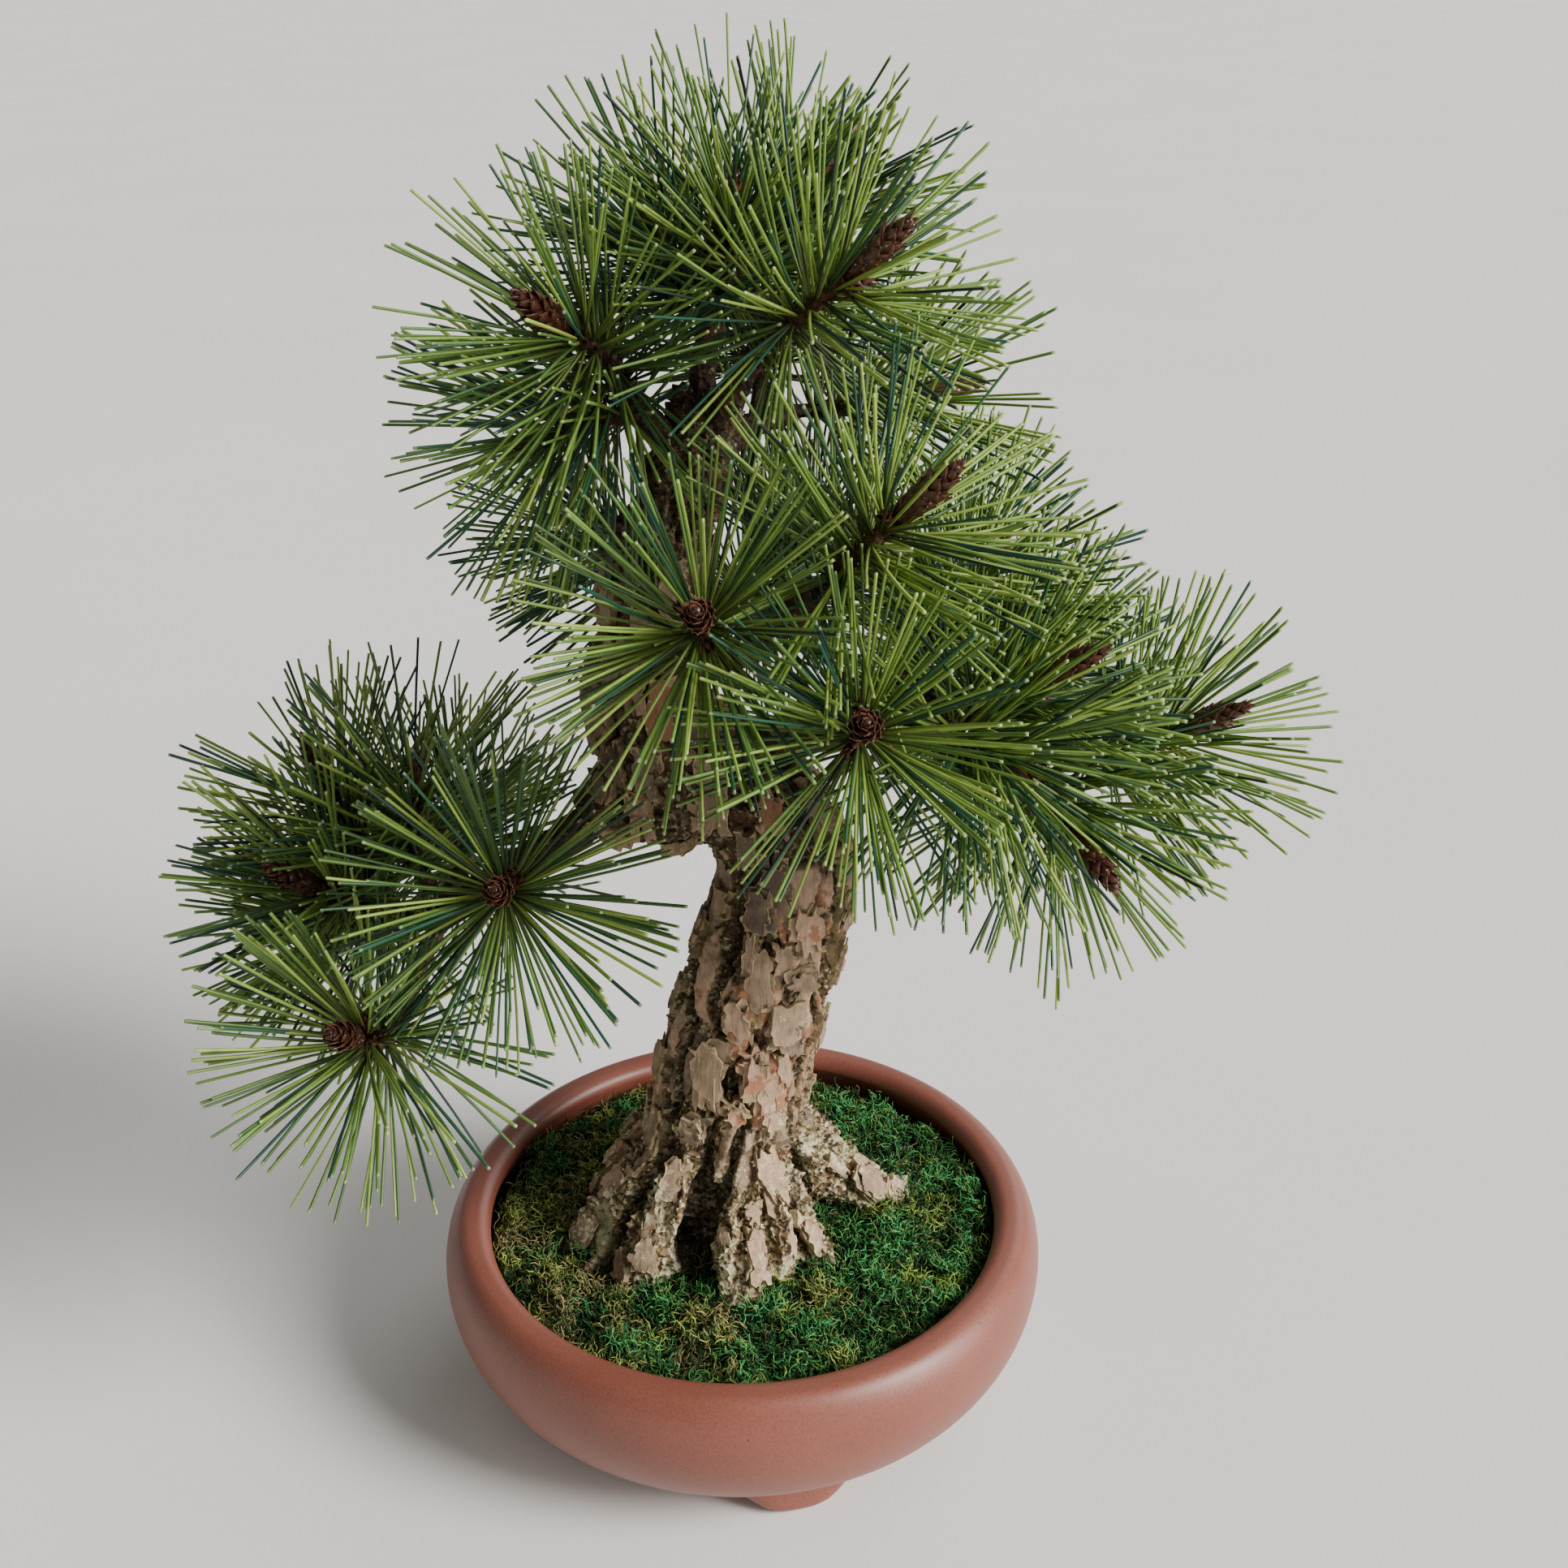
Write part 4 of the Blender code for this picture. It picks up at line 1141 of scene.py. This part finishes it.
# ---- Needles ----
def needle_material(settings):
    """Moulded pine needles: stiff satin strands in mixed greens, olive at the foot, pale at the tip."""
    material, add, shader, place = new_material("Satin_pine_needles")
    tone, along = (add("Attribute", {}, "Fac", attribute_name=layer) for layer in ("tone", "along"))
    # The black-green end of the scale is painted shade.
    greens = add("ValToRGB", {0: tone}, stops=(
        (0.0, settings.painted_shade_black), (0.18, settings.blue), (0.36, settings.dark), (0.62, settings.middle),
        (0.95, settings.bright)))
    # Light and dark runs of 4 mm along the strands.
    streak = add("TexNoise", {"Vector": place, "Scale": 260.0, "Detail": 2.0})
    toned = varied(add, greens, streak, (0.3, 0.88), (0.7, 1.12))
    based = covered(add, toned, linear("#4A4A1C"), along, (0.0, 0.85), (0.08, 0.5), (0.45, 0.0))
    color = covered(add, based, linear("#C6D09A"), along, (0.982, 0.0), (0.992, 0.28))
    connect(shader, {"Base Color": color, "Roughness": 0.42, "Specular IOR Level": 0.35})
    return material


def needle_tone(rng, share, painted_light_level):
    """Place on the scale of greens: darker at the back of a tuft as painted shade, with stray dark and
    bright needles.
    """
    tone = clamp(rng.gauss(0.27 + 0.55 * painted_light_level, 0.12) - 0.15 * (1 - share))
    chance = rng.random()
    if chance < 0.14:
        tone = rng.uniform(0.0, 0.3)
    elif chance > 0.88:
        tone = rng.uniform(0.7, 1.0)
    return tone


def draw_tuft(name, settings, template, material, wood, seed):
    """The needles of one shoot, in sheaths of three from the back of the twig to its end."""
    rng = random.Random(seed)
    branch, _, _, _, _, painted_light_level = SHOOTS[name]
    route = [Vector(place) * MM for place, _ in twig_route(name, BRANCHES[branch][0], 3)]
    bm = bmesh_with("tone", "along")
    for index in range(settings.count):
        if index % 3 == 0:
            share = (index + 3 * rng.random()) / settings.count
            start, direction = twig_point(route, NEEDLE_ZONE * (1 - min(share, 1.0)) + BARE_NECK)
            side, other = square_to(direction)
            open_angle = 88 - 50 * share ** 1.1 + rng.gauss(0, 9)
            open_turn = index / 3 * GOLDEN_TURN + rng.gauss(0, 0.3)
        # Three needles leave one sheath, nearly side by side.
        angle = math.radians(min(max(open_angle + rng.gauss(0, 5.5), 24), 112))
        out = turned(side, other, open_turn + rng.gauss(0, 0.13) / max(math.sin(angle), 0.4))
        foot = start + out * 1.6 * MM
        heading = turned(direction, out, angle)
        length = settings.length * rng.uniform(0.9, 1.03)
        hit = wood.ray_cast(foot + heading * 3 * MM, heading, length)[3]
        if hit is not None:
            if hit < 0.45 * length:
                continue
            length = hit
        bend = heading.cross(Vector([rng.gauss(0, 1) for _ in range(3)])) * 1.3 * MM
        bend += (direction * 3.0 - Vector((0, 0, 1.0))) * MM * math.sin(angle)
        radius = settings.thickness / 2 * rng.uniform(0.85, 1.1)
        across, over = square_to(heading)

        def place(co):
            middle = foot + heading * length * co.z + bend * co.z ** 2
            return middle + (across * co.x + over * co.y) * radius

        stamp(bm, template, place, tone=needle_tone(rng, share, painted_light_level), along=lambda co: co.z)
    finish_piece("needles_of_" + name, to_mesh(bm), material, ["needles_" + name])


class BONSAI_OT_needles(bpy.types.Operator):
    """Draw the needles out of every shoot"""
    bl_idname = "bonsai.needles"
    bl_label = "Needles"

    def execute(self, context):
        settings = context.scene.bonsai_needles
        material = needle_material(settings)
        template = strand_template(
            4, (0.0, 0.06, 0.35, 0.65, 0.975, 1.0), lambda z: 0.8 + 0.2 * smoothstep(0, 0.1, z))
        wood = search_tree([bpy.data.objects[name].data for name in BARKED_PIECES])
        for seed, name in enumerate(SHOOTS, 100):
            draw_tuft(name, settings, template, material, wood, seed)
        return {"FINISHED"}


# ---- Buds ----
def bud_material(settings):
    """Resinous pine bud: red-brown papery scales with dry edges and specks of dried resin."""
    material, add, shader, place = new_material("Resinous_pine_bud")
    along = add("Attribute", {}, "Fac", attribute_name="along")
    scales = add("ValToRGB", {0: along}, stops=(
        (0.0, linear("#33190F")), (0.45, settings.scale_color), (1.0, settings.edge_color)))
    mottle = add("TexNoise", {"Vector": place, "Scale": 500.0, "Detail": 4.0})
    toned = varied(add, scales, mottle, (0.3, 0.7), (0.7, 1.25))
    # Resin specks half a millimetre across.
    color = speckled(add, toned, settings.resin, place, 700.0, 0.8, (0.12, 0.9), (0.2, 0.0))
    bump = add("Bump", {"Height": mottle, "Strength": 0.4, "Distance": 0.3 * MM})
    connect(shader, {"Base Color": color, "Roughness": 0.3, "Normal": bump})
    return material


def bud_radius(share):
    """Radius of a full bud, in millimetres, from its foot at 0 to its tip at 1."""
    return 2.7 + 2.5 * math.sin(min(share * 1.5, 1.0) * math.pi * 0.6) - 3.6 * smoothstep(0.5, 1.0, share)


def scale_template():
    """One pointed scale along +Z, cupped towards +X, from a cube cut into rows."""
    bm = bmesh.new()
    bmesh.ops.create_cube(bm, size=1.0)
    bmesh.ops.translate(bm, verts=bm.verts, vec=(0, 0, 0.5))
    for level in (0.35, 0.7):
        cut(bm, (0, 0, level), (0, 0, 1))
    cut(bm, (0, 0, 0), (0, 1, 0))
    for vert in bm.verts:
        s = vert.co.z
        belly = math.sin(math.pi * min(s * 1.2, 1.0))
        vert.co.y *= 0.85 + 0.35 * belly - 0.95 * smoothstep(0.45, 1.0, s)
        vert.co.x = vert.co.x * 0.16 * (1 - 0.5 * s) - 0.9 * vert.co.y ** 2 + 0.25 * s * s
    return closed_mesh(bm)


def lay_bud(bm, template, foot, direction, length, width, rows, rng):
    """A tapered core with scales in a spiral over it."""
    side, other = square_to(direction)
    shares = [i / 8 for i in range(9)]
    core = [foot + direction * length * share for share in shares]
    before = len(bm.verts)
    loft(bm, tube_sections(core, [bud_radius(share) * width * 0.82 * MM for share in shares], 8))
    bm.verts.ensure_lookup_table()
    for index in range(before, len(bm.verts)):
        bm.verts[index][bm.verts.layers.float["along"]] = 0.2
    for index in range(rows):
        share = index / rows * 0.94
        out = turned(side, other, index * GOLDEN_TURN)
        around = direction.cross(out)
        base = foot + direction * length * share + out * bud_radius(share) * width * 0.72 * MM
        lean = math.radians(rng.uniform(0, 6) - 9 * smoothstep(0.3, 1.0, share))
        rise = turned(direction, out, lean)
        face = turned(out, -direction, lean)
        tall = (7.6 - 3.6 * share) * MM * rng.uniform(0.85, 1.15) * (0.5 + 0.5 * width)
        broad = (5.4 - 3.0 * share) * MM * width

        def place(co):
            return base + rise * co.z * tall + (around * co.y + face * co.x) * broad

        stamp(bm, template, place, along=lambda co: co.z)


class BONSAI_OT_buds(bpy.types.Operator):
    """Lay overlapping scales round every bud"""
    bl_idname = "bonsai.buds"
    bl_label = "Buds"

    def execute(self, context):
        settings = context.scene.bonsai_buds
        material = bud_material(settings)
        template = scale_template()
        for seed, (name, details) in enumerate(SHOOTS.items(), 400):
            rng = random.Random(seed)
            full = details[4]
            heart, direction = shoot_frame(name)
            bm = bmesh_with("along")
            foot = heart + direction * (CORE_HALF + 1.5 * MM)
            if full:
                lay_bud(bm, template, foot, direction, settings.length, 1.0, 38, rng)
                # Two small side buds stand at the foot of a full one.
                side, other = square_to(direction)
                for turn in (rng.uniform(0, 3), rng.uniform(3, 6)):
                    out = turned(side, other, turn) * 0.8 + direction * 0.6
                    stub = foot - direction * 3 * MM + out * 1.5 * MM
                    lay_bud(bm, template, stub, out.normalized(), 8 * MM, 0.45, 10, rng)
            else:
                lay_bud(bm, template, foot, direction, settings.length * 0.45, 0.6, 20, rng)
            replaced = ["bud_" + name] if full else ["needles_" + name]
            finish_piece("scaly_bud_" + name, closed_mesh(bm), material, replaced)
        return {"FINISHED"}


# ---- Stage ----
LIGHTS = {                     # the direction it comes from, its width in degrees, its strength and colour
    "window_light": ((1.0, -0.5, 0.8), 24, 4.5, (1.0, 0.985, 0.96)),
    "window_glow": ((2.0, -0.75, 0.6), 34, 2.9, (1.0, 0.985, 0.97)),
    "back_fill": ((1.0, 1.5, 1.0), 40, 0.7, (1.0, 1.0, 1.0)),
}


def floor_material():
    """Pale painted board: matt, with hardly any drift in its tone."""
    material, add, shader, place = new_material("Pale_matt_floor")
    clouds = add("TexNoise", {"Vector": place, "Scale": 3.0, "Detail": 4.0})
    color = add("ValToRGB", {0: clouds}, stops=((0.3, linear("#E2E0DC")), (0.7, linear("#E8E6E2"))))
    connect(shader, {"Base Color": color, "Roughness": 0.7})
    return material


def lay_floor():
    """A floor wide enough to fill every view."""
    bm = bmesh.new()
    bmesh.ops.create_grid(bm, x_segments=4, y_segments=4, size=60.0)
    floor = link("floor", to_mesh(bm))
    floor.data.materials.append(floor_material())


def add_light(name, towards, width, strength, color):
    """Even light from one direction, soft because it comes from a patch of sky some degrees wide."""
    data = bpy.data.lights.new(name, "SUN")
    data.angle = math.radians(width)
    data.energy = strength
    data.color = color
    link(name, data).rotation_euler = Vector(towards).to_track_quat("Z", "Y").to_euler()


def set_camera():
    """A camera in front of the pot that looks down on it."""
    data = bpy.data.cameras.new("camera")
    data.sensor_width = 36.0
    data.lens = 42.5
    data.clip_start = 0.01
    camera = link("camera", data)
    camera.location = (0.0153, -0.5521, 0.5074)
    camera.rotation_euler = Euler((math.radians(90 - 25.82), 0.0, 0.0))
    bpy.context.scene.camera = camera


class BONSAI_OT_stage(bpy.types.Operator):
    """Set the pale floor, the soft lights and the camera"""
    bl_idname = "bonsai.stage"
    bl_label = "Stage"

    def execute(self, context):
        lay_floor()
        for name, details in LIGHTS.items():
            add_light(name, *details)
        world = bpy.data.worlds.new("soft_room")
        world.use_nodes = True
        connect(world.node_tree.nodes["Background"], {"Color": linear("#E4E4E2"), "Strength": 0.38})
        context.scene.world = world
        set_camera()
        return {"FINISHED"}


# ---- Panel and registration ----
class BONSAI_PT_panel(bpy.types.Panel):
    """Sidebar panel that lists the steps"""
    bl_idname = "BONSAI_PT_panel"
    bl_label = "Bonsai pine"
    bl_space_type = "VIEW_3D"
    bl_region_type = "UI"
    bl_category = "Bonsai"

    def draw(self, context):
        for operator in OPERATORS:
            self.layout.operator(operator.bl_idname)


OPERATORS = (
    BONSAI_OT_pot, BONSAI_OT_soil, BONSAI_OT_trunk, BONSAI_OT_branches, BONSAI_OT_moss, BONSAI_OT_needles,
    BONSAI_OT_buds, BONSAI_OT_stage,
)
CLASSES = (*SETTINGS.values(), *OPERATORS, BONSAI_PT_panel)


def register():
    noise.seed_set(NOISE_SEED)
    for item in CLASSES:
        bpy.utils.register_class(item)
    for name, group in SETTINGS.items():
        setattr(bpy.types.Scene, name, bpy.props.PointerProperty(type=group))


def unregister():
    for name in SETTINGS:
        delattr(bpy.types.Scene, name)
    for item in reversed(CLASSES):
        bpy.utils.unregister_class(item)


def main():
    register()
    bpy.ops.bonsai.pot()
    bpy.ops.bonsai.soil()
    bpy.ops.bonsai.trunk()
    bpy.ops.bonsai.branches()
    bpy.ops.bonsai.moss()
    bpy.ops.bonsai.needles()
    bpy.ops.bonsai.buds()
    bpy.ops.bonsai.stage()


if __name__ == "__main__":
    main()
